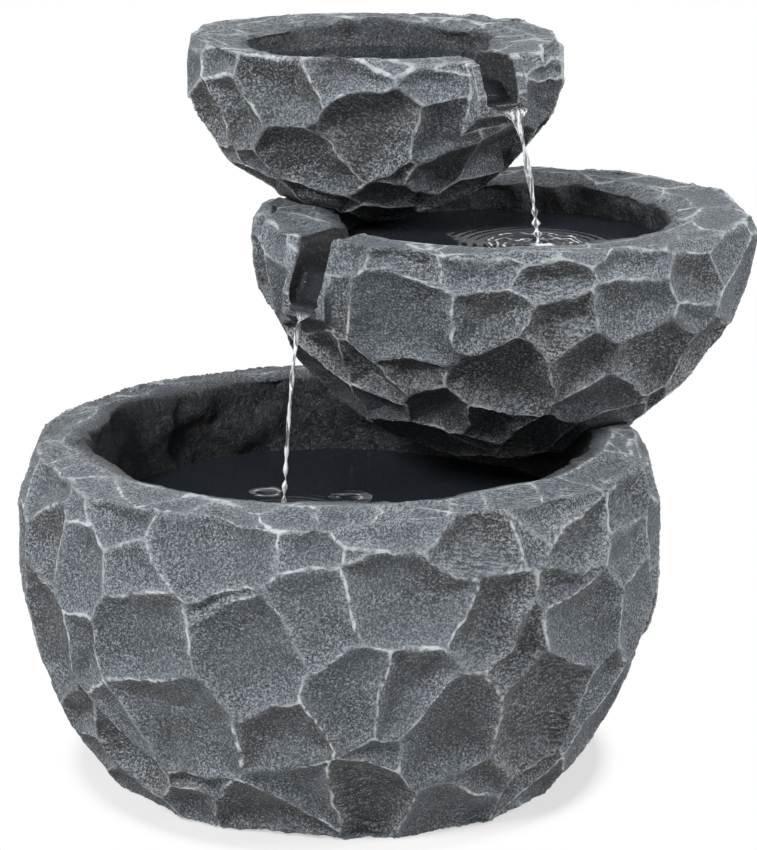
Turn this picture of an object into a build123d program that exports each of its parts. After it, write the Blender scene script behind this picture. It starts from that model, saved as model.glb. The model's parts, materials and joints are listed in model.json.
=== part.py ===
from build123d import *
import math
import os
import random

os.makedirs("parts", exist_ok=True)

# Cascading fountain: three chiselled stone-look bowls, each upper one standing on the rim of
# the one below, with a small pump in the lowest bowl and a riser hose to the highest one.
# Millimetres, +Z up, -Y towards the viewer. The origin is under the centre of the basin.

# Lower bowl
LOWER_HALF_WIDTH = 208.0
LOWER_HALF_DEPTH = 194.0
LOWER_RIM_Z = 221.5
LOWER_WIDEST_BELOW_RIM = 57.5
LOWER_BELLY = 246.0
LOWER_SHOULDER = 150.0
LOWER_SIDE_WALL = 46.0
LOWER_FRONT_WALL = 58.0
LOWER_REAR_WALL = 44.0
BASIN_DRAFT = 30.0
BASIN_FLOOR_Z = 30.0

# Middle bowl, placed from the riser hose
MIDDLE_RIGHT_OF_RISER = 99.0
MIDDLE_BEFORE_RISER = 74.0
MIDDLE_HALF_WIDTH = 165.0
MIDDLE_HALF_DEPTH = 142.0
MIDDLE_RIM_ABOVE_LOWER = 128.0
MIDDLE_WIDEST_BELOW_RIM = 16.0
MIDDLE_BELLY = 152.0
MIDDLE_SHOULDER = 62.0
MIDDLE_SIDE_WALL = 54.0
MIDDLE_FRONT_WALL = 44.0
MIDDLE_REAR_WALL = 44.0
MIDDLE_DRAFT = 48.0
MIDDLE_DEPTH = 102.0

# Top bowl, placed from the riser hose
TOP_RIGHT_OF_RISER = 14.0
TOP_BEFORE_RISER = 9.0
TOP_HALF_WIDTH = 127.0
TOP_HALF_DEPTH = 108.0
TOP_RIM_ABOVE_MIDDLE = 103.0
TOP_WIDEST_BELOW_RIM = 14.0
TOP_BELLY = 111.0
TOP_SHOULDER = 62.0
TOP_SIDE_WALL = 43.0
TOP_FRONT_WALL = 34.0
TOP_REAR_WALL = 34.0
TOP_DRAFT = 36.0
TOP_DEPTH = 80.0

# Chiselled facets: the largest depth taken off the form, and how unevenly they are spaced
CHISEL_DEPTH = 5.0
CHISEL_SPREAD = 0.33
CHISEL_TILT = 4.0

# Courses of facets from the shoulder down: degrees above the widest level, number around
LOWER_COURSES = ((27, 25), (15, 24), (3, 23), (-9, 22), (-20, 21), (-30, 20), (-39, 18))
MIDDLE_COURSES = ((20, 20), (4, 20), (-11, 19), (-26, 18), (-41, 16), (-56, 12), (-72, 7))
TOP_COURSES = ((20, 17), (2, 17), (-15, 16), (-32, 15), (-49, 12), (-67, 8))
LOWER_SEED = 11
MIDDLE_SEED = 23
TOP_SEED = 37

# Hewn tops of the rims, and the flare where a rim falls into its bowl
LOWER_RIM_FACETS = 13
MIDDLE_RIM_FACETS = 11
TOP_RIM_FACETS = 9
LOWER_RIM_LIFT = -1.5
MIDDLE_RIM_LIFT = 2.5
TOP_RIM_LIFT = 2.0
LOWER_RIM_TILT = 9.0
MIDDLE_RIM_TILT = 2.0
TOP_RIM_TILT = 1.5
RIM_TILT_SPREAD = 3.0
RIM_UNEVENNESS = 3.0
FLARE_WIDTH = 18.0
LOWER_FLARE = 4.0
MIDDLE_FLARE = 4.0
TOP_FLARE = 3.0
FLARE_RUN_ON = 4

# Inside of a bowl from floor to mouth: share of its height, share of its draft
INSIDE_PROFILE = ((0.0, 1.0), (0.10, 0.62), (0.38, 0.25), (1.0, 0.0))

# Seats of the upper bowls in the rims below them
SEAT_SINK = 5.0
SEAT_GAP = 0.5
FOOT_RADIUS = 26.0
FOOT_SIDES = 7
FOOT_HEIGHT_INTO_BOWL = 60.0
FOOT_TAPER = 4.0

# Spouts: where around the bowl the lip is, and which way the water runs off
SPOUT_RUN = 40.0
SPOUT_SHELF = 9.0
SPOUT_LIP = 7.0
SPOUT_CHEEK_END = 7.0
MIDDLE_SPOUT_WIDTH = 22.0
MIDDLE_SPOUT_CHEEK = 6.5
MIDDLE_SPOUT_ANGLE = 216.5
MIDDLE_SPOUT_HEADING = 232.0
MIDDLE_SPOUT_OVERHANG = 6.0
MIDDLE_SPOUT_SLOPE = 66.0
MIDDLE_SPOUT_SETBACK = 15.0
MIDDLE_LIP_BELOW_RIM = 43.5
MIDDLE_WEIR_BELOW_RIM = 25.5
TOP_SPOUT_WIDTH = 25.0
TOP_SPOUT_CHEEK = 9.0
TOP_SPOUT_ANGLE = -46.0
TOP_SPOUT_HEADING = -52.0
TOP_SPOUT_OVERHANG = 5.0
TOP_SPOUT_SLOPE = 58.0
TOP_SPOUT_SETBACK = 7.0
TOP_LIP_BELOW_RIM = 31.0
TOP_WEIR_BELOW_RIM = 21.0

# Riser hose
RISER_X = 8.0
RISER_INTO_REAR_WALL = 14.0
HOSE_RADIUS = 5.5
HOSE_WALL = 1.5
HOSE_BEND_RADIUS = 40.0
HOSE_BEND_ANGLE = 72.0
HOSE_STRAIGHT = 13.0
HOSE_TOP_BELOW_SEAT = 10.0
HOSE_BORE_CLEARANCE = 0.5
DUCT_CLEARANCE = 3.0
CABLE_HOLE_RADIUS = 5.0
CABLE_HOLE_BELOW_RIM = 22.0

# Pump, lying along X on the basin floor with its outlet under the hose
PUMP_TO_REAR_WALL = 29.0
PUMP_WIDTH = 36.0
PUMP_HEIGHT = 30.0
PUMP_FRONT = 12.0
PUMP_REAR = 40.0
PUMP_CORNER = 4.0
FOOT_HEIGHT = 5.0
FOOT_CUP_RADIUS = 7.0
FOOT_STEM_RADIUS = 2.0
FOOT_STEM = 3.0
CHAMBER_RADIUS = 12.0
CHAMBER_BACK = 6.0
ROTOR_WELL_RADIUS = 7.0
ROTOR_WELL_END = 34.0
ROTOR_CLEARANCE = 0.5
IMPELLER_CLEARANCE = 1.5
IMPELLER_HUB_RADIUS = 4.0
VANE_COUNT = 6
VANE_THICKNESS = 1.6
SHAFT_RADIUS = 1.5
RUNNING_CLEARANCE = 0.03
FIT_CLEARANCE = 0.05
BUSH_RADIUS = 3.5
BUSH_LENGTH = 3.0
COVER_THICKNESS = 4.0
INTAKE_HOLE_RADIUS = 2.2
INTAKE_RING_RADIUS = 8.0
STRAINER_LENGTH = 22.0
STRAINER_WALL = 2.0
STRAINER_LAP = 4.0
STRAINER_CLEARANCE = 0.4
STRAINER_SLOT = 2.4
STRAINER_PITCH = 5.2
DIAL_RADIUS = 9.0
DIAL_THICKNESS = 4.0
DIAL_STEM_RADIUS = 3.0
DIAL_HEAD_RADIUS = 4.5
DIAL_HEAD = 1.5
DIAL_CLEARANCE = 0.1
DIAL_GAP = 0.3
DIAL_NOTCHES = 14
DIAL_NOTCH_RADIUS = 0.9
POINTER_LENGTH = 7.0
POINTER_WIDTH = 1.6
POINTER_HEIGHT = 1.5
NOZZLE_WALL = 1.2
NOZZLE_SPIGOT_RADIUS = 6.2
NOZZLE_COLLAR_RADIUS = 8.2
NOZZLE_COLLAR = 2.5
NOZZLE_LENGTH = 12.0
OUTLET_BOSS_RADIUS = 9.5
OUTLET_BOSS_HEIGHT = 7.0
SEAL_SECTION = 1.6
CLIP_WALL = 1.2
CLIP_WIDTH = 6.0
CLIP_EAR = 6.0
GLAND_RADIUS = 5.5
GLAND_LENGTH = 8.0
GLAND_SPIGOT_RADIUS = 4.0
GLAND_SPIGOT = 5.0
GLAND_BORE_RADIUS = 2.6

# Inlet fitting through the top bowl's floor
FITTING_RADIUS = 8.0
FITTING_FLANGE_RADIUS = 14.0
FITTING_FLANGE = 4.0
FITTING_TAIL = 16.0
FITTING_FLOOR = 14.0
WASHER_THICKNESS = 2.0
NUT_HEIGHT = 7.0
NUT_ACROSS_FLATS = 24.0
NUT_POCKET_RADIUS = 17.0

# Levels and plan positions that follow from the sizes above
LOWER_Y = (LOWER_REAR_WALL - LOWER_FRONT_WALL) / 2
LOWER_REAR_Y = LOWER_Y + LOWER_HALF_DEPTH
RISER_Y = LOWER_REAR_Y - LOWER_REAR_WALL + RISER_INTO_REAR_WALL
MIDDLE_X = RISER_X + MIDDLE_RIGHT_OF_RISER
MIDDLE_Y = RISER_Y - MIDDLE_BEFORE_RISER
MIDDLE_RIM_Z = LOWER_RIM_Z + MIDDLE_RIM_ABOVE_LOWER
TOP_X = RISER_X + TOP_RIGHT_OF_RISER
TOP_Y = RISER_Y - TOP_BEFORE_RISER
TOP_RIM_Z = MIDDLE_RIM_Z + TOP_RIM_ABOVE_MIDDLE
MIDDLE_SEAT_Z = LOWER_RIM_Z - SEAT_SINK
TOP_SEAT_Z = MIDDLE_RIM_Z - SEAT_SINK
PUMP_Y = LOWER_REAR_Y - LOWER_REAR_WALL - BASIN_DRAFT - PUMP_TO_REAR_WALL
PUMP_AXIS_Z = BASIN_FLOOR_Z + FOOT_HEIGHT + PUMP_HEIGHT / 2
HOSE_TOP_Z = TOP_SEAT_Z - HOSE_TOP_BELOW_SEAT


class Form:
    """Outside of a bowl: two half ellipsoids that meet at its widest level."""

    def __init__(self, x, y, half_width, half_depth, widest_z, belly, shoulder, rim_z):
        self.x = x
        self.y = y
        self.half_width = half_width
        self.half_depth = half_depth
        self.widest_z = widest_z
        self.belly = belly
        self.shoulder = shoulder
        self.rim_z = rim_z

    def tangent(self, turn, lift):
        """Point and outward normal at a plan angle and an angle up from the widest level."""
        rise = self.shoulder if lift > 0 else self.belly
        east = math.cos(lift) * math.cos(turn)
        north = math.cos(lift) * math.sin(turn)
        up = math.sin(lift)
        point = Vector(
            self.x + self.half_width * east,
            self.y + self.half_depth * north,
            self.widest_z + rise * up,
        )
        normal = Vector(east / self.half_width, north / self.half_depth, up / rise)
        return point, normal.normalized()

    def rim_share(self):
        """How wide the form still is at the rim, as a share of its widest size."""
        rise = (self.rim_z - self.widest_z) / self.shoulder
        return math.sqrt(1 - rise * rise)

    def outline_radius(self, turn):
        """Plan distance from the centre to the widest outline, towards a plan angle."""
        east = math.cos(turn) / self.half_width
        north = math.sin(turn) / self.half_depth
        return 1 / math.hypot(east, north)


def chiselled(form, courses, rim_count, rim_width, rim_lift, rim_tilt, seed, grow=0.0):
    """Many-sided block hewn from a form: staggered courses of flat facets and a hewn rim."""
    rng = random.Random(seed)
    foot_z = max(0.0, form.widest_z - form.belly)
    height = form.rim_z + 2 * RIM_UNEVENNESS - foot_z
    block = Box(3 * form.half_width, 3 * form.half_depth, height)
    block = Pos(form.x, form.y, foot_z + height / 2) * block
    planes = []
    for row, (lift, count) in enumerate(courses):
        for step in range(count):
            shift = 0.5 * (row % 2) + rng.uniform(-CHISEL_SPREAD, CHISEL_SPREAD)
            turn = 2 * math.pi * (step + shift) / count
            tilt = lift + rng.uniform(-CHISEL_TILT, CHISEL_TILT)
            point, normal = form.tangent(turn, math.radians(tilt))
            planes.append((point - normal * rng.uniform(0, CHISEL_DEPTH), normal))
    for step in range(rim_count):
        turn = 2 * math.pi * (step + rng.uniform(-CHISEL_SPREAD, CHISEL_SPREAD)) / rim_count
        tilt = math.radians(rim_tilt + rng.uniform(-RIM_TILT_SPREAD, RIM_TILT_SPREAD))
        share = form.rim_share()
        point = Vector(
            form.x + (share * form.half_width - rim_width / 2) * math.cos(turn),
            form.y + (share * form.half_depth - rim_width / 2) * math.sin(turn),
            form.rim_z + rim_lift + rng.uniform(-RIM_UNEVENNESS, RIM_UNEVENNESS) / 2,
        )
        normal = Vector(
            math.sin(tilt) * math.cos(turn),
            math.sin(tilt) * math.sin(turn),
            math.cos(tilt),
        )
        planes.append((point, normal))
    for point, normal in planes:
        facet = Plane(origin=point + normal * grow, z_dir=normal)
        block = block.split(facet, keep=Keep.BOTTOM)
    return block


def hollow(form, side_wall, front_wall, rear_wall, draft, floor_z, flare, shrink=0.0):
    """Rounded inside of a bowl, from its floor to well above its flared mouth."""
    wide = form.half_width - side_wall - shrink
    deep = form.half_depth - (front_wall + rear_wall) / 2 - shrink
    middle_y = form.y + (front_wall - rear_wall) / 2
    mouth_z = form.rim_z - flare
    height = mouth_z - floor_z
    sections = []
    for rise, inset in INSIDE_PROFILE:
        section = Ellipse(wide - inset * draft, deep - inset * draft)
        sections.append(Pos(form.x, middle_y, floor_z + rise * height) * section)
    spread = FLARE_RUN_ON * FLARE_WIDTH
    flared = Ellipse(wide + spread, deep + spread)
    flared = Pos(form.x, middle_y, mouth_z + FLARE_RUN_ON * flare) * flared
    return loft(sections) + loft([sections[-1], flared], ruled=True)


def above(solid, level):
    """The part of a solid above a level."""
    return solid.split(Plane(origin=(0, 0, level), z_dir=(0, 0, 1)), keep=Keep.TOP)


def below(solid, level):
    """The part of a solid below a level."""
    return solid.split(Plane(origin=(0, 0, level), z_dir=(0, 0, 1)), keep=Keep.BOTTOM)


def upright(x, y, radius, bottom, top):
    """Upright round bar between two levels."""
    return Pos(x, y, (bottom + top) / 2) * Cylinder(radius, top - bottom)


def lying(radius, start, end):
    """Round bar along the pump's axis, from and to distances behind its outlet."""
    middle = Pos(RISER_X + (start + end) / 2, PUMP_Y, PUMP_AXIS_Z)
    return middle * Rot(0, 90, 0) * Cylinder(radius, end - start)


def pump_block(width, height, start, end, corner):
    """Block along the pump's axis with rounded long edges."""
    block = Box(end - start, width, height)
    block = fillet(block.edges().filter_by(Axis.X), corner)
    return Pos(RISER_X + (start + end) / 2, PUMP_Y, PUMP_AXIS_Z) * block


def spout(form, angle, heading, overhang, lip_drop, weir_drop, slope, setback, width, cheek):
    """Block to add at the rim for a spout, and the channel to cut through rim and block."""
    turn = math.radians(angle)
    reach = form.outline_radius(turn) + overhang
    lip_z = form.rim_z - lip_drop
    lip = Vector(form.x + reach * math.cos(turn), form.y + reach * math.sin(turn), lip_z)
    way = Vector(math.cos(math.radians(heading)), math.sin(math.radians(heading)), 0)
    side = Plane(origin=lip, x_dir=way, z_dir=way.cross(Vector(0, 0, 1)))
    block_top = lip_drop - RIM_UNEVENNESS
    block_outline = Polyline(
        (0, -SPOUT_LIP),
        (0, SPOUT_CHEEK_END),
        (-setback, block_top),
        (-SPOUT_RUN, block_top),
        (-SPOUT_RUN, -SPOUT_RUN),
        close=True,
    )
    weir_rise = lip_drop - weir_drop
    weir_start = -SPOUT_SHELF - weir_rise / math.tan(math.radians(slope))
    channel_outline = Polyline(
        (SPOUT_RUN, 0),
        (-SPOUT_SHELF, 0),
        (weir_start, weir_rise),
        (-2 * SPOUT_RUN, weir_rise),
        (-2 * SPOUT_RUN, 2 * SPOUT_RUN),
        (SPOUT_RUN, 2 * SPOUT_RUN),
        close=True,
    )
    block = extrude(side * make_face(block_outline), width / 2 + cheek, both=True)
    channel = extrude(side * make_face(channel_outline), width / 2, both=True)
    return block, channel


# Outside forms of the three bowls
lower_form = Form(
    0.0,
    LOWER_Y,
    LOWER_HALF_WIDTH,
    LOWER_HALF_DEPTH,
    LOWER_RIM_Z - LOWER_WIDEST_BELOW_RIM,
    LOWER_BELLY,
    LOWER_SHOULDER,
    LOWER_RIM_Z,
)
middle_form = Form(
    MIDDLE_X,
    MIDDLE_Y,
    MIDDLE_HALF_WIDTH,
    MIDDLE_HALF_DEPTH,
    MIDDLE_RIM_Z - MIDDLE_WIDEST_BELOW_RIM,
    MIDDLE_BELLY,
    MIDDLE_SHOULDER,
    MIDDLE_RIM_Z,
)
top_form = Form(
    TOP_X,
    TOP_Y,
    TOP_HALF_WIDTH,
    TOP_HALF_DEPTH,
    TOP_RIM_Z - TOP_WIDEST_BELOW_RIM,
    TOP_BELLY,
    TOP_SHOULDER,
    TOP_RIM_Z,
)

# How each bowl is hewn and hollowed
lower_rim_cut = (LOWER_RIM_FACETS, LOWER_REAR_WALL, LOWER_RIM_LIFT, LOWER_RIM_TILT)
middle_rim_cut = (MIDDLE_RIM_FACETS, MIDDLE_REAR_WALL, MIDDLE_RIM_LIFT, MIDDLE_RIM_TILT)
top_rim_cut = (TOP_RIM_FACETS, TOP_REAR_WALL, TOP_RIM_LIFT, TOP_RIM_TILT)
lower_cut = (LOWER_COURSES, *lower_rim_cut, LOWER_SEED)
middle_cut = (MIDDLE_COURSES, *middle_rim_cut, MIDDLE_SEED)
top_cut = (TOP_COURSES, *top_rim_cut, TOP_SEED)
lower_walls = (LOWER_SIDE_WALL, LOWER_FRONT_WALL, LOWER_REAR_WALL)
lower_inside = (*lower_walls, BASIN_DRAFT, BASIN_FLOOR_Z, LOWER_FLARE)
middle_floor_z = MIDDLE_RIM_Z - MIDDLE_DEPTH
middle_walls = (MIDDLE_SIDE_WALL, MIDDLE_FRONT_WALL, MIDDLE_REAR_WALL)
middle_inside = (*middle_walls, MIDDLE_DRAFT, middle_floor_z, MIDDLE_FLARE)
top_floor_z = TOP_RIM_Z - TOP_DEPTH
top_walls = (TOP_SIDE_WALL, TOP_FRONT_WALL, TOP_REAR_WALL)
top_inside = (*top_walls, TOP_DRAFT, top_floor_z, TOP_FLARE)


def riser_foot(grow):
    """Hewn foot of the middle bowl around the riser, on the rear rim of the lower bowl."""
    outline = RegularPolygon(FOOT_RADIUS + grow, FOOT_SIDES)
    foot = extrude(outline, FOOT_HEIGHT_INTO_BOWL, taper=FOOT_TAPER)
    return Pos(RISER_X, RISER_Y, MIDDLE_SEAT_Z) * foot


lower_block = chiselled(lower_form, *lower_cut)
middle_block = chiselled(middle_form, *middle_cut)
top_block = chiselled(top_form, *top_cut)

# Lower bowl: basin, pockets for the bowl above, duct for the hose, hole from it for the cable
middle_envelope = chiselled(middle_form, *middle_cut, grow=SEAT_GAP)
middle_envelope = above(middle_envelope, MIDDLE_SEAT_Z) + riser_foot(SEAT_GAP)
lower_bowl = lower_block - hollow(lower_form, *lower_inside)
lower_bowl = lower_bowl - middle_envelope
duct_radius = HOSE_RADIUS + DUCT_CLEARANCE
bend = math.radians(HOSE_BEND_ANGLE)
hose_bottom = PUMP_AXIS_Z + PUMP_HEIGHT / 2 + OUTLET_BOSS_HEIGHT + NOZZLE_COLLAR + FIT_CLEARANCE
slant = RISER_Y - PUMP_Y - 2 * HOSE_BEND_RADIUS * (1 - math.cos(bend))
slant = slant / math.sin(bend)
bend_top = hose_bottom + HOSE_STRAIGHT + 2 * HOSE_BEND_RADIUS * math.sin(bend)
bend_top = bend_top + slant * math.cos(bend)
window_bottom = hose_bottom + HOSE_STRAIGHT
window_top = bend_top - duct_radius
window_depth = RISER_Y - PUMP_Y
lower_bowl = lower_bowl - upright(RISER_X, RISER_Y, duct_radius, window_bottom, MIDDLE_RIM_Z)
window = Box(2 * duct_radius, window_depth, window_top - window_bottom)
window_y = RISER_Y - window_depth / 2
lower_bowl = lower_bowl - Pos(RISER_X, window_y, (window_top + window_bottom) / 2) * window
cable_hole = Rot(90, 0, 0) * Cylinder(CABLE_HOLE_RADIUS, 2 * (LOWER_REAR_Y - RISER_Y))
cable_hole_z = LOWER_RIM_Z - CABLE_HOLE_BELOW_RIM
lower_bowl = lower_bowl - Pos(RISER_X, LOWER_REAR_Y, cable_hole_z) * cable_hole
export_step(lower_bowl, "parts/lower_bowl.step")

# Middle bowl: belly hung into the basin, flat seat on the lower rim, spout at the left front
middle_chute, middle_channel = spout(
    middle_form,
    MIDDLE_SPOUT_ANGLE,
    MIDDLE_SPOUT_HEADING,
    MIDDLE_SPOUT_OVERHANG,
    MIDDLE_LIP_BELOW_RIM,
    MIDDLE_WEIR_BELOW_RIM,
    MIDDLE_SPOUT_SLOPE,
    MIDDLE_SPOUT_SETBACK,
    MIDDLE_SPOUT_WIDTH,
    MIDDLE_SPOUT_CHEEK,
)
lower_rim = chiselled(lower_form, *lower_cut, grow=SEAT_GAP)
lower_rim = lower_rim - hollow(lower_form, *lower_inside, shrink=SEAT_GAP)
lower_rim = below(lower_rim, MIDDLE_SEAT_Z)
top_envelope = above(chiselled(top_form, *top_cut, grow=SEAT_GAP), TOP_SEAT_Z)
riser_bore = HOSE_RADIUS + HOSE_BORE_CLEARANCE
middle_bowl = middle_block - lower_rim + riser_foot(0.0) + middle_chute
middle_bowl = middle_bowl - hollow(middle_form, *middle_inside) - middle_channel - top_envelope
middle_bowl = middle_bowl - upright(RISER_X, RISER_Y, riser_bore, 0, TOP_RIM_Z)
export_step(middle_bowl, "parts/middle_bowl.step")

# Top bowl: belly hung into the middle bowl, spout at the right front, hole for the inlet
top_chute, top_channel = spout(
    top_form,
    TOP_SPOUT_ANGLE,
    TOP_SPOUT_HEADING,
    TOP_SPOUT_OVERHANG,
    TOP_LIP_BELOW_RIM,
    TOP_WEIR_BELOW_RIM,
    TOP_SPOUT_SLOPE,
    TOP_SPOUT_SETBACK,
    TOP_SPOUT_WIDTH,
    TOP_SPOUT_CHEEK,
)
middle_rim = chiselled(middle_form, *middle_cut, grow=SEAT_GAP)
middle_rim = middle_rim - hollow(middle_form, *middle_inside, shrink=SEAT_GAP)
middle_rim = below(middle_rim, TOP_SEAT_Z)
nut_face_z = top_floor_z - FITTING_FLOOR
top_bowl = top_block - middle_rim + top_chute
top_bowl = top_bowl - hollow(top_form, *top_inside) - top_channel
top_bowl = top_bowl - upright(RISER_X, RISER_Y, FITTING_RADIUS + FIT_CLEARANCE, 0, TOP_RIM_Z)
top_bowl = top_bowl - upright(RISER_X, RISER_Y, NUT_POCKET_RADIUS, 0, nut_face_z)
export_step(top_bowl, "parts/top_bowl.step")

# Riser hose: up from the pump outlet, back through the duct, straight up into the top bowl
hose_line = Line((PUMP_Y, hose_bottom), (PUMP_Y, hose_bottom + HOSE_STRAIGHT))
first_bend = JernArc(hose_line @ 1, hose_line % 1, HOSE_BEND_RADIUS, -HOSE_BEND_ANGLE)
slant_end = (first_bend @ 1) + (first_bend % 1) * slant
slant_line = Line(first_bend @ 1, slant_end)
second_bend = JernArc(slant_end, slant_line % 1, HOSE_BEND_RADIUS, HOSE_BEND_ANGLE)
upright_line = Line(second_bend @ 1, (RISER_Y, HOSE_TOP_Z))
hose_plane = Plane(origin=(RISER_X, 0, 0), x_dir=(0, 1, 0), z_dir=(1, 0, 0))
hose_path = Wire([hose_line, first_bend, slant_line, second_bend, upright_line])
hose_path = hose_plane * hose_path
hose_bore = HOSE_RADIUS - HOSE_WALL
tail_radius = hose_bore - FIT_CLEARANCE
tail_bore = tail_radius - NOZZLE_WALL
hose_ring = Circle(HOSE_RADIUS) - Circle(hose_bore)
riser_hose = sweep(Pos(RISER_X, PUMP_Y, hose_bottom) * hose_ring, path=hose_path)
export_step(riser_hose, "parts/riser_hose.step")

# Pump housing with impeller chamber, rotor well, outlet boss and holes for feet and cable
boss_top = PUMP_AXIS_Z + PUMP_HEIGHT / 2 + OUTLET_BOSS_HEIGHT
foot_top = BASIN_FLOOR_Z + FOOT_HEIGHT
foot_spots = []
for along in (-PUMP_FRONT + FOOT_CUP_RADIUS, PUMP_REAR - FOOT_CUP_RADIUS):
    for side in (-1, 1):
        foot_spots.append((RISER_X + along, PUMP_Y + side * (PUMP_WIDTH / 2 - FOOT_CUP_RADIUS)))
pump_housing = pump_block(PUMP_WIDTH, PUMP_HEIGHT, -PUMP_FRONT, PUMP_REAR, PUMP_CORNER)
pump_housing = pump_housing + upright(RISER_X, PUMP_Y, OUTLET_BOSS_RADIUS, PUMP_AXIS_Z, boss_top)
pump_housing = pump_housing - lying(CHAMBER_RADIUS, -PUMP_FRONT, CHAMBER_BACK)
pump_housing = pump_housing - lying(ROTOR_WELL_RADIUS, CHAMBER_BACK, ROTOR_WELL_END)
pump_housing = pump_housing - lying(BUSH_RADIUS, ROTOR_WELL_END, ROTOR_WELL_END + BUSH_LENGTH)
outlet_socket = NOZZLE_SPIGOT_RADIUS + FIT_CLEARANCE
pump_housing = pump_housing - upright(RISER_X, PUMP_Y, outlet_socket, PUMP_AXIS_Z, boss_top)
cable_z = PUMP_AXIS_Z + PUMP_HEIGHT / 4
cable_lift = Pos(0, 0, cable_z - PUMP_AXIS_Z)
gland_hole = lying(GLAND_SPIGOT_RADIUS + FIT_CLEARANCE, PUMP_REAR - GLAND_SPIGOT, PUMP_REAR)
pump_housing = pump_housing - cable_lift * gland_hole
for x, y in foot_spots:
    hole = upright(x, y, FOOT_STEM_RADIUS + FIT_CLEARANCE, foot_top, foot_top + FOOT_STEM)
    pump_housing = pump_housing - hole
export_step(pump_housing, "parts/pump_housing.step")

# Suction feet: four rubber cups with stems in the housing
feet = []
for x, y in foot_spots:
    cup = Cone(FOOT_CUP_RADIUS, FOOT_CUP_RADIUS / 2, FOOT_HEIGHT)
    cup = Pos(x, y, BASIN_FLOOR_Z + FOOT_HEIGHT / 2) * cup
    feet.append(cup + upright(x, y, FOOT_STEM_RADIUS, foot_top, foot_top + FOOT_STEM))
export_step(Compound(feet), "parts/suction_feet.step")

# Impeller cover: plate with intake holes, bush seat and a lip for the strainer
cover_front = -PUMP_FRONT - COVER_THICKNESS
lip_width = PUMP_WIDTH - 2 * STRAINER_WALL - 2 * STRAINER_CLEARANCE
lip_height = PUMP_HEIGHT - 2 * STRAINER_WALL - 2 * STRAINER_CLEARANCE
lip_corner = PUMP_CORNER - STRAINER_WALL
impeller_cover = pump_block(PUMP_WIDTH, PUMP_HEIGHT, cover_front, -PUMP_FRONT, PUMP_CORNER)
lip = pump_block(lip_width, lip_height, cover_front - STRAINER_LAP, cover_front, lip_corner)
lip = lip - lying(CHAMBER_RADIUS - STRAINER_WALL, cover_front - STRAINER_LAP, cover_front)
impeller_cover = impeller_cover + lip
impeller_cover = impeller_cover - lying(BUSH_RADIUS, -PUMP_FRONT - BUSH_LENGTH, -PUMP_FRONT)
for step in range(VANE_COUNT):
    turn = 2 * math.pi * step / VANE_COUNT
    intake = lying(INTAKE_HOLE_RADIUS, cover_front, -PUMP_FRONT)
    east = INTAKE_RING_RADIUS * math.cos(turn)
    north = INTAKE_RING_RADIUS * math.sin(turn)
    impeller_cover = impeller_cover - Pos(0, east, north) * intake
export_step(impeller_cover, "parts/impeller_cover.step")

# Shaft and its two rubber bushes
front_bush_start = -PUMP_FRONT - BUSH_LENGTH
bush_bore = SHAFT_RADIUS + RUNNING_CLEARANCE
bush_skin = BUSH_RADIUS - FIT_CLEARANCE
shaft_bush_front = lying(bush_skin, front_bush_start, -PUMP_FRONT)
shaft_bush_front = shaft_bush_front - lying(bush_bore, front_bush_start, -PUMP_FRONT)
export_step(shaft_bush_front, "parts/shaft_bush_front.step")
rear_bush_end = ROTOR_WELL_END + BUSH_LENGTH
shaft_bush_rear = lying(bush_skin, ROTOR_WELL_END, rear_bush_end)
shaft_bush_rear = shaft_bush_rear - lying(bush_bore, ROTOR_WELL_END, rear_bush_end)
export_step(shaft_bush_rear, "parts/shaft_bush_rear.step")
impeller_shaft = lying(SHAFT_RADIUS, front_bush_start, rear_bush_end)
export_step(impeller_shaft, "parts/impeller_shaft.step")

# Impeller: hub tube, back plate and vanes, with the rotor magnet on the hub tube
impeller_radius = CHAMBER_RADIUS - IMPELLER_CLEARANCE
plate_back = CHAMBER_BACK - ROTOR_CLEARANCE
vane_front = -PUMP_FRONT + IMPELLER_CLEARANCE
magnet_end = ROTOR_WELL_END - IMPELLER_CLEARANCE
impeller = lying(impeller_radius, plate_back - VANE_THICKNESS, plate_back)
impeller = impeller + lying(IMPELLER_HUB_RADIUS, vane_front, magnet_end)
vane_length = plate_back - vane_front
for step in range(VANE_COUNT):
    vane = Box(vane_length, VANE_THICKNESS, impeller_radius - IMPELLER_HUB_RADIUS / 2)
    vane = Pos(0, 0, (impeller_radius + IMPELLER_HUB_RADIUS / 2) / 2) * vane
    vane = Rot(360 * step / VANE_COUNT, 0, 0) * vane
    impeller = impeller + Pos(RISER_X + vane_front + vane_length / 2, PUMP_Y, PUMP_AXIS_Z) * vane
impeller = impeller & lying(impeller_radius, vane_front, magnet_end)
impeller = impeller - lying(bush_bore, vane_front, magnet_end)
export_step(impeller, "parts/impeller.step")
rotor_magnet = lying(ROTOR_WELL_RADIUS - ROTOR_CLEARANCE, plate_back, magnet_end)
rotor_magnet = rotor_magnet - lying(IMPELLER_HUB_RADIUS + FIT_CLEARANCE, plate_back, magnet_end)
export_step(rotor_magnet, "parts/rotor_magnet.step")

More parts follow.
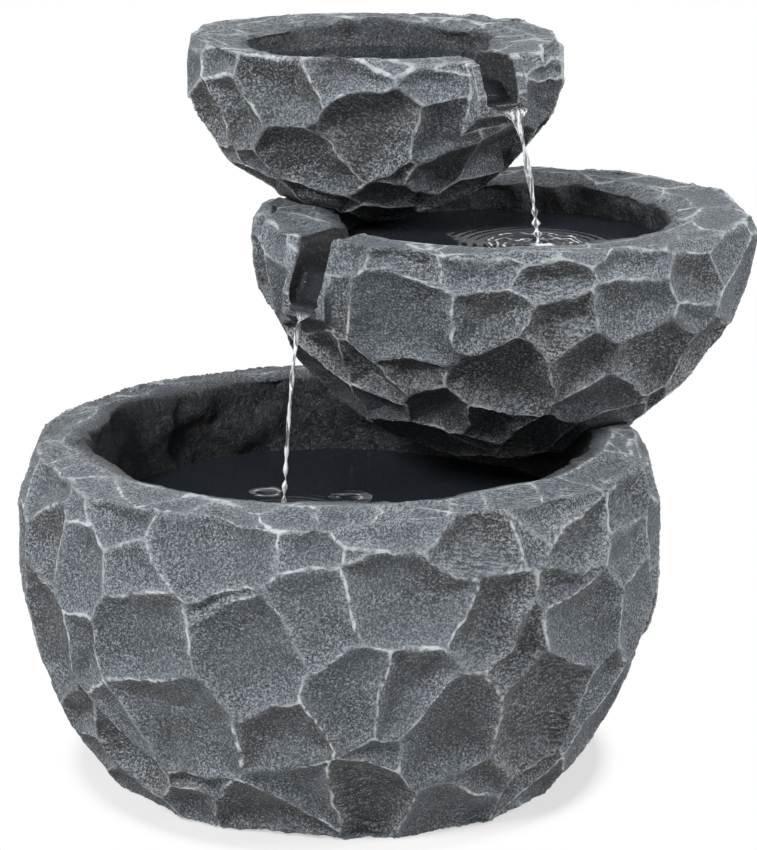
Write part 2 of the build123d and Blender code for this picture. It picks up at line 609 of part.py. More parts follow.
# Strainer: slotted box over the cover's lip, pulled off forwards
strainer_front = cover_front - STRAINER_LENGTH
inner_width = PUMP_WIDTH - 2 * STRAINER_WALL
inner_height = PUMP_HEIGHT - 2 * STRAINER_WALL
inner_front = strainer_front + STRAINER_WALL
strainer = pump_block(PUMP_WIDTH, PUMP_HEIGHT, strainer_front, cover_front, PUMP_CORNER)
strainer = strainer - pump_block(inner_width, inner_height, inner_front, cover_front, lip_corner)
slot_count = int((STRAINER_LENGTH - STRAINER_LAP - 2 * STRAINER_WALL) / STRAINER_PITCH)
for step in range(slot_count):
    along = RISER_X + inner_front + STRAINER_SLOT + step * STRAINER_PITCH
    side_slot = Box(STRAINER_SLOT, 2 * PUMP_WIDTH, inner_height - 2 * PUMP_CORNER)
    strainer = strainer - Pos(along, PUMP_Y, PUMP_AXIS_Z) * side_slot
    top_slot = Box(STRAINER_SLOT, inner_width - 2 * PUMP_CORNER, PUMP_HEIGHT)
    strainer = strainer - Pos(along, PUMP_Y, PUMP_AXIS_Z + PUMP_HEIGHT / 2) * top_slot
stem_hole = DIAL_STEM_RADIUS + DIAL_CLEARANCE
strainer = strainer - lying(stem_hole, strainer_front, inner_front)
export_step(strainer, "parts/strainer.step")

# Flow dial: notched knob on the strainer's front wall, held by a head inside
dial_back = strainer_front - DIAL_GAP
dial_front = dial_back - DIAL_THICKNESS
head_start = inner_front + DIAL_GAP
flow_dial = lying(DIAL_RADIUS, dial_front, dial_back)
for step in range(DIAL_NOTCHES):
    turn = 2 * math.pi * step / DIAL_NOTCHES
    notch_bar = lying(DIAL_NOTCH_RADIUS, dial_front, dial_back)
    east = DIAL_RADIUS * math.cos(turn)
    north = DIAL_RADIUS * math.sin(turn)
    flow_dial = flow_dial - Pos(0, east, north) * notch_bar
pointer = Box(POINTER_HEIGHT, POINTER_WIDTH, POINTER_LENGTH)
pointer_x = RISER_X + dial_front - POINTER_HEIGHT / 2
flow_dial = flow_dial + Pos(pointer_x, PUMP_Y, PUMP_AXIS_Z + DIAL_RADIUS / 2) * pointer
flow_dial = flow_dial + lying(DIAL_STEM_RADIUS, dial_back, head_start)
flow_dial = flow_dial + lying(DIAL_HEAD_RADIUS, head_start, head_start + DIAL_HEAD)
export_step(flow_dial, "parts/flow_dial.step")

# Outlet nozzle with its sealing ring, hose clip, cable gland
seal_z = (PUMP_AXIS_Z + CHAMBER_RADIUS + boss_top) / 2
nozzle_top = boss_top + NOZZLE_COLLAR + NOZZLE_LENGTH
groove_radius = outlet_socket - SEAL_SECTION
spigot_bottom = PUMP_AXIS_Z + CHAMBER_RADIUS
collar_top = boss_top + NOZZLE_COLLAR
outlet_nozzle = upright(RISER_X, PUMP_Y, NOZZLE_SPIGOT_RADIUS, spigot_bottom, boss_top)
collar = upright(RISER_X, PUMP_Y, NOZZLE_COLLAR_RADIUS, boss_top, collar_top)
outlet_nozzle = outlet_nozzle + collar + upright(RISER_X, PUMP_Y, tail_radius, boss_top, nozzle_top)
seal_bottom = seal_z - SEAL_SECTION / 2
seal_top = seal_z + SEAL_SECTION / 2
groove = upright(RISER_X, PUMP_Y, 2 * NOZZLE_SPIGOT_RADIUS, seal_bottom, seal_top)
groove = groove - upright(RISER_X, PUMP_Y, groove_radius, seal_bottom, seal_top)
outlet_nozzle = outlet_nozzle - groove
outlet_nozzle = outlet_nozzle - upright(RISER_X, PUMP_Y, tail_bore, PUMP_AXIS_Z, nozzle_top)
export_step(outlet_nozzle, "parts/outlet_nozzle.step")
nozzle_seal = Torus(outlet_socket - SEAL_SECTION / 2, SEAL_SECTION / 2 - FIT_CLEARANCE / 2)
export_step(Pos(RISER_X, PUMP_Y, seal_z) * nozzle_seal, "parts/nozzle_seal.step")
clip_bottom = hose_bottom + (NOZZLE_LENGTH - CLIP_WIDTH) / 2
clip_inside = HOSE_RADIUS + FIT_CLEARANCE
clip_outside = clip_inside + CLIP_WALL
hose_clip = upright(RISER_X, PUMP_Y, clip_outside, clip_bottom, clip_bottom + CLIP_WIDTH)
for side in (-1, 1):
    ear = Box(CLIP_EAR, CLIP_WALL, CLIP_WIDTH)
    ear_x = RISER_X - clip_outside - CLIP_EAR / 2 + CLIP_WALL
    ear = Pos(ear_x, PUMP_Y + side * 2 * CLIP_WALL, clip_bottom + CLIP_WIDTH / 2) * ear
    hose_clip = hose_clip + ear
clip_hole = upright(RISER_X, PUMP_Y, clip_inside, clip_bottom, clip_bottom + CLIP_WIDTH)
hose_clip = hose_clip - clip_hole
export_step(hose_clip, "parts/hose_clip.step")
gland_end = PUMP_REAR + GLAND_LENGTH
cable_gland = lying(GLAND_SPIGOT_RADIUS, PUMP_REAR - GLAND_SPIGOT, PUMP_REAR)
gland_nut = extrude(RegularPolygon(GLAND_RADIUS, 6), GLAND_LENGTH)
gland_nut = Pos(RISER_X + PUMP_REAR, PUMP_Y, PUMP_AXIS_Z) * Rot(0, 90, 0) * gland_nut
cable_gland = cable_gland + gland_nut
cable_gland = cable_gland - lying(GLAND_BORE_RADIUS, PUMP_REAR - GLAND_SPIGOT, gland_end)
export_step(cable_lift * cable_gland, "parts/cable_gland.step")

# Inlet fitting, washer and nut in the top bowl's floor; the tail plugs into the hose
flange_top = top_floor_z + FITTING_FLANGE
washer_bottom = nut_face_z - WASHER_THICKNESS
nut_bottom = washer_bottom - NUT_HEIGHT
tail_bottom = HOSE_TOP_Z - FITTING_TAIL
inlet_fitting = upright(RISER_X, RISER_Y, FITTING_FLANGE_RADIUS, top_floor_z, flange_top)
inlet_fitting = inlet_fitting + upright(RISER_X, RISER_Y, FITTING_RADIUS, nut_bottom, top_floor_z)
inlet_fitting = inlet_fitting + upright(RISER_X, RISER_Y, tail_radius, tail_bottom, nut_bottom)
inlet_fitting = inlet_fitting - upright(RISER_X, RISER_Y, tail_bore, tail_bottom, flange_top)
export_step(inlet_fitting, "parts/inlet_fitting.step")
nut_hole = FITTING_RADIUS + FIT_CLEARANCE
inlet_washer = upright(RISER_X, RISER_Y, NUT_ACROSS_FLATS / 2, washer_bottom, nut_face_z)
inlet_washer = inlet_washer - upright(RISER_X, RISER_Y, nut_hole, washer_bottom, nut_face_z)
export_step(inlet_washer, "parts/inlet_washer.step")
inlet_nut = extrude(RegularPolygon(NUT_ACROSS_FLATS / 2, 6, major_radius=False), NUT_HEIGHT)
inlet_nut = Pos(RISER_X, RISER_Y, nut_bottom) * inlet_nut
inlet_nut = inlet_nut - upright(RISER_X, RISER_Y, nut_hole, nut_bottom, washer_bottom)
export_step(inlet_nut, "parts/inlet_nut.step")
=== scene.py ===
import json
import math
import random
from typing import NamedTuple

import bmesh
import bpy
from bpy.props import FloatProperty, FloatVectorProperty, PointerProperty
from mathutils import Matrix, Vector


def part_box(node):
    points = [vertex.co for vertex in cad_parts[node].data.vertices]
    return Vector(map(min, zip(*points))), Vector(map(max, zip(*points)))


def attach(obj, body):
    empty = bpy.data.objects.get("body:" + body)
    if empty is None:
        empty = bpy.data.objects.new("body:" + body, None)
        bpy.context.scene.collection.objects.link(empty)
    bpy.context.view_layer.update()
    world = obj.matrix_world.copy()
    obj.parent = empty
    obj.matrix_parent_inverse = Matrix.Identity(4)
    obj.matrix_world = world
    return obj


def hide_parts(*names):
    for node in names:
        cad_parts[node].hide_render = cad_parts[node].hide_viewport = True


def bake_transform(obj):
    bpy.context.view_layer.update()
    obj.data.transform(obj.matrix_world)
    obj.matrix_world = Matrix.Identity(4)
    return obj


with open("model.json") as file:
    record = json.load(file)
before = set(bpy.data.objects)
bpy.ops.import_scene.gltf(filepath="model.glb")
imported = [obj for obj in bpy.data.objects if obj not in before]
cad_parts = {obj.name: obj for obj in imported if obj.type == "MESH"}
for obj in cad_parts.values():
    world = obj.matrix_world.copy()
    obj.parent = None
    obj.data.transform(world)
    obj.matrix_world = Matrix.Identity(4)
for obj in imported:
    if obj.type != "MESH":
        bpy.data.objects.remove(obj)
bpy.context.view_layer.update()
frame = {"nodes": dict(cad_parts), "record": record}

bl_info = {
    "name": "Cascading Fountain",
    "version": (1, 0, 0),
    "blender": (4, 5, 0),
    "location": "View3D > Sidebar > Fountain",
    "description": "Dresses a three-bowl cascading fountain in hewn slate, water and studio light",
    "category": "Object",
}

# Edges sharper than the first are ridges, and faces that meet flatter than the second are one facet
RIDGE_ANGLE = math.radians(3)
FLAT_ANGLE = math.radians(0.5)
# How far a bowl's rounded inside flares out round its mouth, in metres
FLARE_WIDTH = 0.016
MERGE_DISTANCE = 1e-6
MILLIMETRES = 1000
# Half height of a bowl's mouth that leaves a point's height out of its reach
ANY_HEIGHT = 1000.0
# A mesh with more triangles is thinned, and one with fewer faces counts as failed
MOST_TRIANGLES = 185000
FEWEST_FACES = 1000


class Bowl(NamedTuple):
    """A bowl's node and body, the centre and half sizes of its mouth, and how finely it is modelled.

    Its spout has a lip, a way that the water takes, and half the width of its channel.
    The last number is how far the inside takes its dark colour, for wetness and as painted shade.
    """

    node: str
    body: str
    centre: tuple
    mouth: tuple
    voxel: float
    seed: int
    lip: tuple
    way: tuple
    channel: float
    wet_and_shade: float


class Pool(NamedTuple):
    """Still water in a bowl: its level, half sizes, dark cover as painted shade, and its rings as (x, y,
    radius, splash).
    """

    bowl: Bowl
    level: float
    reach: tuple
    shade_cover: float
    rings: tuple


class Course(NamedTuple):
    """Water that runs out of a pool through a spout and falls into the pool below.

    Its bed has points as (distance along the spout's way, height above the lip).
    Jet is half the width of the falling water, and turns is how often that twists.
    """

    name: str
    bowl: Bowl
    below: str
    bed: tuple
    leap: tuple
    landing: tuple
    jet: float
    turns: float


# Lips of the spouts and the ways that water takes over them, where a bowl without a spout has its lip far off
NO_LIP = (0.0, 0.0, 9.0)
MIDDLE_LIP = (-0.0229, -0.0131, 0.306)
TOP_LIP = (0.1061, 0.0610, 0.4215)
MIDDLE_WAY = (-0.6157, -0.788, 0.0)
TOP_WAY = (0.6157, -0.788, 0.0)

LOWER = Bowl(
    node="lower_bowl",
    body="base",
    centre=(0.0, 0.0),
    mouth=(0.162, 0.143),
    voxel=0.0022,
    seed=5,
    lip=NO_LIP,
    way=MIDDLE_WAY,
    channel=0.0,
    wet_and_shade=0.93,
)
MIDDLE = Bowl(
    node="middle_bowl",
    body="middle",
    centre=(0.107, 0.083),
    mouth=(0.111, 0.098),
    voxel=0.0018,
    seed=8,
    lip=MIDDLE_LIP,
    way=MIDDLE_WAY,
    channel=0.0110,
    wet_and_shade=0.91,
)
TOP = Bowl(
    node="top_bowl",
    body="top",
    centre=(0.022, 0.148),
    mouth=(0.084, 0.074),
    voxel=0.0015,
    seed=13,
    lip=TOP_LIP,
    way=TOP_WAY,
    channel=0.0125,
    wet_and_shade=0.58,
)

POOLS = (
    Pool(
        bowl=LOWER,
        level=0.168,
        reach=(0.163, 0.144),
        shade_cover=0.78,
        rings=((-0.036, -0.020, 0.030, 1.0), (-0.049, 0.036, 0.011, 0.0), (0.007, 0.024, 0.014, 0.0)),
    ),
    Pool(bowl=MIDDLE, level=0.327, reach=(0.112, 0.099), shade_cover=0.78, rings=((0.1305, 0.072, 0.038, 1.0),)),
    Pool(bowl=TOP, level=0.4335, reach=(0.086, 0.076), shade_cover=0.30, rings=()),
)
COURSES = (
    Course(
        name="lower_stream",
        bowl=MIDDLE,
        below="base",
        bed=(
            (-0.060, 0.0208),
            (-0.030, 0.0206),
            (-0.0195, 0.0195),
            (-0.0125, 0.0090),
            (-0.0085, 0.0020),
            (-0.001, 0.0008),
        ),
        leap=(-0.0235, -0.0140, 0.3035),
        landing=(-0.036, -0.020, 0.1678),
        jet=0.0016,
        turns=2.75,
    ),
    Course(
        name="upper_stream",
        bowl=TOP,
        below="middle",
        bed=(
            (-0.056, 0.0128),
            (-0.028, 0.0126),
            (-0.018, 0.0117),
            (-0.0125, 0.0068),
            (-0.0085, 0.0020),
            (-0.001, 0.0008),
        ),
        leap=(0.1112, 0.0645, 0.4190),
        landing=(0.1305, 0.072, 0.3268),
        jet=0.0027,
        turns=1.25,
    ),
)


def length_property(name, description, default):
    """A length in metres that a user can change."""
    return FloatProperty(name=name, description=description, default=default, unit="LENGTH")


def colour_property(name, description, default):
    """A colour that a user can change."""
    return FloatVectorProperty(
        name=name, description=description, default=default, subtype="COLOR", min=0, max=1
    )


class StoneSettings(bpy.types.PropertyGroup):
    """Hewn surface and paint of the three bowls."""

    scoop_depth: length_property("Scoop depth", "How deep a chiselled facet is dished", 0.0080)
    scoop_width: length_property("Scoop width", "How far from its edge a facet reaches that depth", 0.023)
    ridge_height: length_property("Ridge height", "How far the ridges stand out from the solid", 0.0024)
    dent_depth: length_property("Dent depth", "Depth of the broad dents that break up the outline", 0.0022)
    edge_wander: length_property("Edge wander", "How far the facets' edges stray from straight", 0.021)
    grain_height: length_property("Grain height", "Unevenness of the rough surface", 0.0009)
    brim_swell: length_property("Brim swell", "How far the rim's inner edge bulges inwards", 0.007)
    ridge_width: length_property("Ridge width", "Width of the pale brushed line on a ridge", 0.0013)
    slate: colour_property("Slate", "Main colour of the stone", (0.076, 0.089, 0.103))
    # The shade colour also goes on faces that look down, as painted shade
    shade: colour_property("Shade", "Darker, browner colour of some facets", (0.051, 0.049, 0.046))
    pits: colour_property("Pits", "Colour of the small pits", (0.014, 0.017, 0.021))
    grains: colour_property("Grains", "Colour of the light grains", (0.31, 0.34, 0.365))
    ridges: colour_property("Ridges", "Pale paint brushed over the ridges", (0.57, 0.61, 0.63))
    # Near black inside the bowls and spout channels, for wetness and as painted shade
    inside: colour_property("Inside", "Dark wet colour inside the bowls", (0.004, 0.0045, 0.006))


class WaterSettings(bpy.types.PropertyGroup):
    """Pools, films and falling streams."""

    film_gap: length_property("Film gap", "Gap between the running water and the sides of a spout", 0.0006)
    film_depth: length_property("Film depth", "Half depth of the water that runs through a spout", 0.0007)
    jet_depth: length_property("Jet depth", "Half thickness of a falling stream", 0.0008)
    ripple_height: length_property("Ripple height", "Height of the ripples round a landing", 0.0005)
    ripple_length: length_property("Ripple length", "Distance from one ripple to the next", 0.0065)
    # Dark colour of the water; over the pools, part opaque, it is painted shade of the basin below
    deep: colour_property("Deep", "Dark colour of the still water", (0.023, 0.028, 0.035))
    # Froth and bubbles, and painted glints on the ripples and the falling streams
    foam_and_glint: colour_property("Foam and glints", "Colour of foam, bubbles and glints", (0.90, 0.92, 0.94))


class PumpSettings(bpy.types.PropertyGroup):
    """Colours of the pump, the hose and the fittings."""

    plastic: colour_property("Plastic", "Moulded black plastic", (0.016, 0.016, 0.018))
    strainer: colour_property("Strainer", "Plastic of the intake strainer", (0.022, 0.022, 0.024))
    dial: colour_property("Dial", "Plastic of the flow dial", (0.10, 0.11, 0.12))
    impeller: colour_property("Impeller", "Natural plastic of the impeller", (0.60, 0.60, 0.56))
    rubber: colour_property("Rubber", "Feet, bushes, washer and sealing ring", (0.014, 0.014, 0.014))
    hose: colour_property("Hose", "Vinyl of the riser hose", (0.020, 0.021, 0.022))
    steel: colour_property("Steel", "Spring steel of the hose clip", (0.56, 0.56, 0.55))
    ceramic: colour_property("Ceramic", "Ground ceramic of the shaft", (0.78, 0.76, 0.70))
    ferrite: colour_property("Ferrite", "Sintered rotor magnet", (0.030, 0.030, 0.032))


class StageSettings(bpy.types.PropertyGroup):
    """Camera, floor and light."""

    distance: length_property("Camera distance", "How far in front of the origin the camera stands", 1.9949)
    height: length_property("Camera height", "Height of the camera above the floor", 0.8026)
    offset: length_property("Camera offset", "How far right of the origin the camera stands", 0.0254)
    tilt: FloatProperty(
        name="Camera tilt",
        description="Camera's angle up from looking straight down",
        default=math.radians(73.834),
        subtype="ANGLE",
    )
    lens: FloatProperty(name="Lens", description="Focal length in millimetres", default=136.6)
    floor: colour_property("Floor", "Pale floor", (0.74, 0.74, 0.74))
    sky: FloatProperty(name="Sky", description="Strength of the even light all round", default=0.235)
    key: FloatProperty(name="Key", description="Power of the large soft lamp", default=65.0, subtype="POWER")
    fill: FloatProperty(name="Fill", description="Power of the weak lamp", default=40.0, subtype="POWER")
    top: FloatProperty(name="Top", description="Power of the lamp overhead", default=5.0, subtype="POWER")


class FountainSettings(bpy.types.PropertyGroup):
    """Everything about the fountain that a user can change."""

    stone: PointerProperty(type=StoneSettings)
    water: PointerProperty(type=WaterSettings)
    pump: PointerProperty(type=PumpSettings)
    stage: PointerProperty(type=StageSettings)


class Field:
    """A node's output that takes part in plain arithmetic."""

    def __init__(self, graph, socket):
        self.graph = graph
        self.socket = socket

    def out(self, name):
        """Another output of the same node."""
        return Field(self.graph, self.socket.node.outputs[name])

    def __add__(self, other):
        return self.graph.math("ADD", self, other)

    def __radd__(self, other):
        return self.graph.math("ADD", other, self)

    def __sub__(self, other):
        return self.graph.math("SUBTRACT", self, other)

    def __rsub__(self, other):
        return self.graph.math("SUBTRACT", other, self)

    def __mul__(self, other):
        return self.graph.math("MULTIPLY", self, other)

    def __rmul__(self, other):
        return self.graph.math("MULTIPLY", other, self)

    def __truediv__(self, other):
        return self.graph.math("DIVIDE", self, other)


class Graph:
    """Nodes of one tree, added by type, settings and socket values."""

    def __init__(self, tree):
        self.tree = tree

    def add(self, kind, settings=None, inputs=None, output=0):
        """One new node: its settings first, then values or links of its sockets."""
        node = self.tree.nodes.new(kind)
        for name, value in (settings or {}).items():
            setattr(node, name, value)
        for key, value in (inputs or {}).items():
            if isinstance(value, Field):
                self.tree.links.new(value.socket, node.inputs[key])
            else:
                node.inputs[key].default_value = value
        return Field(self, node.outputs[output] if node.outputs else node.inputs[output])

    def math(self, operation, first, second=0.0):
        return self.add("ShaderNodeMath", {"operation": operation}, {0: first, 1: second})

    def vector(self, operation, first, second):
        return self.add("ShaderNodeVectorMath", {"operation": operation}, {0: first, 1: second})

    def scaled(self, vector, factor):
        return self.add("ShaderNodeVectorMath", {"operation": "SCALE"}, {0: vector, "Scale": factor})

    def unit(self, vector):
        return self.add("ShaderNodeVectorMath", {"operation": "NORMALIZE"}, {0: vector})

    def length(self, vector):
        return self.add("ShaderNodeVectorMath", {"operation": "LENGTH"}, {0: vector}, "Value")

    def dot(self, first, second):
        return self.vector("DOT_PRODUCT", first, second).out("Value")

    def axis(self, vector, name):
        """One coordinate of a vector."""
        return self.add("ShaderNodeSeparateXYZ", None, {0: vector}, name)

    def step(self, value, low, high):
        """Smooth rise from 0 at low to 1 at high."""
        return self.add(
            "ShaderNodeMapRange",
            {"interpolation_type": "SMOOTHSTEP"},
            {"Value": value, "From Min": low, "From Max": high},
        )

    def noise(self, vector, scale, detail=2.0, roughness=0.5, output="Fac"):
        return self.add(
            "ShaderNodeTexNoise",
            None,
            {"Vector": vector, "Scale": scale, "Detail": detail, "Roughness": roughness},
            output,
        )

    def mix(self, factor, first, second):
        """Colour between two colours."""
        return self.add("ShaderNodeMix", {"data_type": "RGBA"}, {0: factor, 6: first, 7: second}, 2)

    def place(self):
        """Object coordinates, for a material."""
        return self.add("ShaderNodeTexCoord", output="Object")

    def attribute(self, name):
        """A piece's own attribute, for a material."""
        return self.add("ShaderNodeAttribute", {"attribute_name": name}, output="Fac")

    def shape_of(self, helper):
        """Geometry of an object that a tree is given."""
        return self.add("GeometryNodeObjectInfo", None, {"Object": helper}, "Geometry")

    def stored(self, geometry, name, value):
        """Geometry with one more attribute on its points."""
        return self.add(
            "GeometryNodeStoreNamedAttribute",
            {"data_type": "FLOAT", "domain": "POINT"},
            {"Geometry": geometry, "Name": name, "Value": value},
        )


def opaque(colour):
    """A colour property as the four numbers of a colour socket."""
    return (*colour, 1.0)


def new_material(name):
    """An empty node material and its graph."""
    material = bpy.data.materials.new(name)
    material.use_nodes = True
    material.node_tree.nodes.clear()
    return material, Graph(material.node_tree)


def shade(graph, inputs, bump=None, strength=0.3, distance=0.001):
    """Puts a Principled shader on a material, with a bump where a height is given."""
    sockets = dict(inputs)
    if bump is not None:
        sockets["Normal"] = graph.add(
            "ShaderNodeBump", None, {"Height": bump, "Strength": strength, "Distance": distance}
        )
    surface = graph.add("ShaderNodeBsdfPrincipled", None, sockets)
    graph.add("ShaderNodeOutputMaterial", None, {"Surface": surface}, "Surface")


def new_tree(name, sockets):
    """A Geometry Nodes tree with named inputs, its graph and its input node."""
    tree = bpy.data.node_groups.new(name, "GeometryNodeTree")
    tree.interface.new_socket("Geometry", in_out="INPUT", socket_type="NodeSocketGeometry")
    for label, kind in sockets:
        tree.interface.new_socket(label, in_out="INPUT", socket_type=kind)
    tree.interface.new_socket("Geometry", in_out="OUTPUT", socket_type="NodeSocketGeometry")
    graph = Graph(tree)
    return tree, graph, graph.add("NodeGroupInput")


def close_tree(graph, geometry, material):
    """Realizes, smooths, paints and hands out a tree's geometry."""
    real = graph.add("GeometryNodeRealizeInstances", None, {"Geometry": geometry})
    smooth = graph.add("GeometryNodeSetShadeSmooth", None, {"Geometry": real})
    painted = graph.add("GeometryNodeSetMaterial", None, {"Geometry": smooth, "Material": material})
    graph.add("NodeGroupOutput", None, {0: painted}, 0)


def finished_mesh(raw):
    """Plain mesh of an object with its modifiers applied."""
    depsgraph = bpy.context.evaluated_depsgraph_get()
    return bpy.data.meshes.new_from_object(
        raw.evaluated_get(depsgraph), preserve_all_data_layers=True, depsgraph=depsgraph
    )


def apply_tree(mesh, tree, values, voxel=None):
    """The plain mesh that a tree makes of a mesh, thinned where it has too many triangles.

    The mesh is remeshed first where a voxel size is given.
    """
    raw = bpy.data.objects.new("raw", mesh)
    bpy.context.scene.collection.objects.link(raw)
    if voxel:
        remesh = raw.modifiers.new("Remesh", "REMESH")
        remesh.mode = "VOXEL"
        remesh.voxel_size = voxel
    modifier = raw.modifiers.new("Nodes", "NODES")
    modifier.node_group = tree
    for item in tree.interface.items_tree:
        if item.in_out == "INPUT" and item.name in values:
            modifier[item.identifier] = values[item.name]
    made = finished_mesh(raw)
    triangles = sum(len(face.vertices) - 2 for face in made.polygons)
    if triangles > MOST_TRIANGLES:
        thin = raw.modifiers.new("Thin", "DECIMATE")
        thin.ratio = MOST_TRIANGLES / triangles
        bpy.data.meshes.remove(made)
        made = finished_mesh(raw)
    bpy.data.objects.remove(raw)
    if len(made.polygons) < FEWEST_FACES:
        raise RuntimeError("the tree " + tree.name + " made an empty mesh")
    return made


def new_piece(name, mesh, body):
    """A finished piece that rides on a body."""
    piece = bpy.data.objects.new(name, mesh)
    bpy.context.scene.collection.objects.link(piece)
    mesh.name = name
    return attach(piece, body)


# Noise scales of the stone's paint, per metre
FINE_NOISE = 1350.0
SPECKLE_NOISE = 680.0
DRY_NOISE = 340.0
ROUGH_NOISE = 230.0
PATCH_NOISE = 42.0
COARSE_NOISE = 30.0
STROKE_NOISE = (110.0, 620.0, 620.0)
STROKE_AXIS = (0.4, 0.3, 0.87)


def slate_material(stone):
    """Slate-look resin: grain, tinted facets, pale brushed ridges, painted highlight and shade, dark inside.
    """
    material, graph = new_material("slate_resin")
    place = graph.place()
    ridge = graph.attribute("ridge_mm")
    tint = graph.attribute("facet_tint")
    inside = graph.attribute("inside")
    upward = graph.attribute("upward")

    fine = graph.noise(place, FINE_NOISE, 2.0, 0.6)
    speckle = graph.noise(place, SPECKLE_NOISE, 3.0, 0.7)
    rough = graph.noise(place, ROUGH_NOISE, 3.0, 0.6)
    patches = graph.noise(place, PATCH_NOISE, 4.0, 0.6)
    turned = graph.add(
        "ShaderNodeVectorRotate",
        {"rotation_type": "AXIS_ANGLE"},
        {"Vector": place, "Axis": STROKE_AXIS, "Angle": tint * math.tau},
    )
    strokes = graph.noise(graph.vector("MULTIPLY", turned, STROKE_NOISE), 1.0, 2.0, 0.6)

    # Pale paint on the ridges, worn off in patches
    wobble = (rough - 0.5) * 1.8 + (speckle - 0.5) * 1.6
    width = stone.ridge_width * MILLIMETRES
    line = graph.step(ridge + wobble, width, 0.3 * width)
    kept = graph.step(graph.noise(place, PATCH_NOISE, 3.0, 0.6), 0.40, 0.58)
    brushed = line * (0.15 + 0.8 * kept)

    # Pits and grains, with more grains near ridges as brushed paint
    stroked = graph.step(tint, 0.45, 0.75)
    mottle = 0.6 * speckle + 0.4 * fine + 0.4 * stroked * (strokes - 0.5)
    dry_brush_and_painted_light = graph.step(ridge + 3.0 * wobble, 7.0, 0.0) * 0.035
    # More grains on faces that look up and fewer on faces that look down: painted highlight and painted shade
    dry_brush_and_painted_light = dry_brush_and_painted_light + (graph.step(upward, -0.45, 0.25) - 0.6) * 0.04
    # Browner, darker facets at random, and more of it on faces that look down as painted shade
    dark = graph.step(tint * 0.4 + patches - 0.35 * upward, 0.58, 0.98)
    colour = graph.mix(dark * 0.8, opaque(stone.slate), opaque(stone.shade))
    coarse = 0.68 + 0.32 * graph.step(graph.noise(place, COARSE_NOISE, 2.0, 0.5), 0.40, 0.58)
    colour = graph.mix(graph.step(mottle + dry_brush_and_painted_light, 0.50, 0.41) * coarse, colour, opaque(stone.pits))
    colour = graph.mix(graph.step(mottle + dry_brush_and_painted_light, 0.50, 0.61) * coarse, colour, opaque(stone.grains))
    colour = graph.mix(brushed, colour, opaque(stone.ridges))
    # Inside and spout channels painted dark for wetness and as painted shade, less dark in dry patches
    dry = graph.step(graph.noise(place, DRY_NOISE, 3.0, 0.65), 0.50, 0.66)
    colour = graph.mix(inside * (1 - 0.3 * dry), colour, opaque(stone.inside))

    height = speckle * 0.9 + rough * 0.9 + strokes * 0.5 * stroked
    shade(
        graph,
        {"Base Color": colour, "Roughness": 0.6 + 0.2 * rough - 0.15 * inside},
        height,
        1.0,
        0.0016,
    )
    return material


# Ranges over which masks on the stone rise or fall. A reach is a share of the mouth's half size, a slope or
# facing is a part of the surface's normal, and the others are metres.
INSIDE_REACH = (1.07, 0.99)
INSIDE_SLOPE = (-0.12, 0.02)
TROUGH_SIDE = (0.0022, 0.0008)
TROUGH_FRONT = (0.0, -0.003)
TROUGH_BACK = (-0.085, -0.075)
TROUGH_FLOOR = (-0.002, 0.0)
NEIGHBOUR_ROOM = (0.0015, 0.010)
LIP_ROOM = (0.055, 0.025)
RIM_SLOPE = (0.45, 0.7)
LEVEL_SLOPE = (0.4, 0.8)
OVERHANG_SLOPE = (-0.45, -0.15)
TOP_SLOPE = (0.6, 0.9)
BRINK_INNER_REACH = (0.90, 0.97)
BRINK_OUTER_REACH = (1.14, 1.02)
BRINK_FACING = (-0.35, -0.1)
BRINK_SLOPE = (-0.4, -0.1)

# Noise scales of the stone's shape, per metre, and the chips on the rims per metre
DENT_NOISE = 24.0
GRAIN_NOISE = 190.0
HAMMER_NOISE = 45.0
DRIFT_NOISE = 24.0
SHIVER_NOISE = 110.0
SWELL_NOISE = 21.0
RIM_CHIPS = 18.0

# Metres: depth of the hammered inside, what is added to the chips' distance off the rims, and how far stone
# draws back where another piece is close
HAMMER_DEPTH = 0.0022
CHIPLESS = 0.05
SEAT_EASE = 0.0009


class Masks(NamedTuple):
    """Where a bowl's stone is inside, dark (wetness and painted shade), clear of others, free to be hewn,
    each 0 to 1.
    """

    inside: Field
    wet_and_shade: Field
    clear: Field
    loose: Field


def stone_masks(graph, given, place, up, reach):
    """Masks of a bowl's basin and spout channel, and of the room round them."""
    basin = graph.step(reach, *INSIDE_REACH) * graph.step(up, *INSIDE_SLOPE)
    from_lip = graph.vector("SUBTRACT", place, given.out("Lip"))
    ahead = graph.dot(from_lip, given.out("Way"))
    sideways = graph.vector("CROSS_PRODUCT", from_lip, given.out("Way"))
    across = graph.math("ABSOLUTE", graph.axis(sideways, "Z"))
    trough = graph.step(across, *(given.out("Channel") + beyond for beyond in TROUGH_SIDE))
    trough = trough * graph.step(ahead, *TROUGH_FRONT) * graph.step(ahead, *TROUGH_BACK)
    trough = trough * graph.step(graph.axis(from_lip, "Z"), *TROUGH_FLOOR)
    others = graph.shape_of(given.out("Neighbours"))
    room = graph.add("GeometryNodeProximity", {"target_element": "FACES"}, {0: others}, "Distance")
    clear = graph.step(room, *NEIGHBOUR_ROOM)
    near_lip = graph.step(graph.length(from_lip), *LIP_ROOM)
    return Masks(
        inside=graph.math("MAXIMUM", basin, trough),
        # How dark the inside and spout channel are painted, for wetness and as painted shade
        wet_and_shade=graph.math("MAXIMUM", given.out("Wet"), 0.92 * trough),
        clear=clear,
        loose=clear * (1 - trough) * (1 - 0.85 * near_lip),
    )


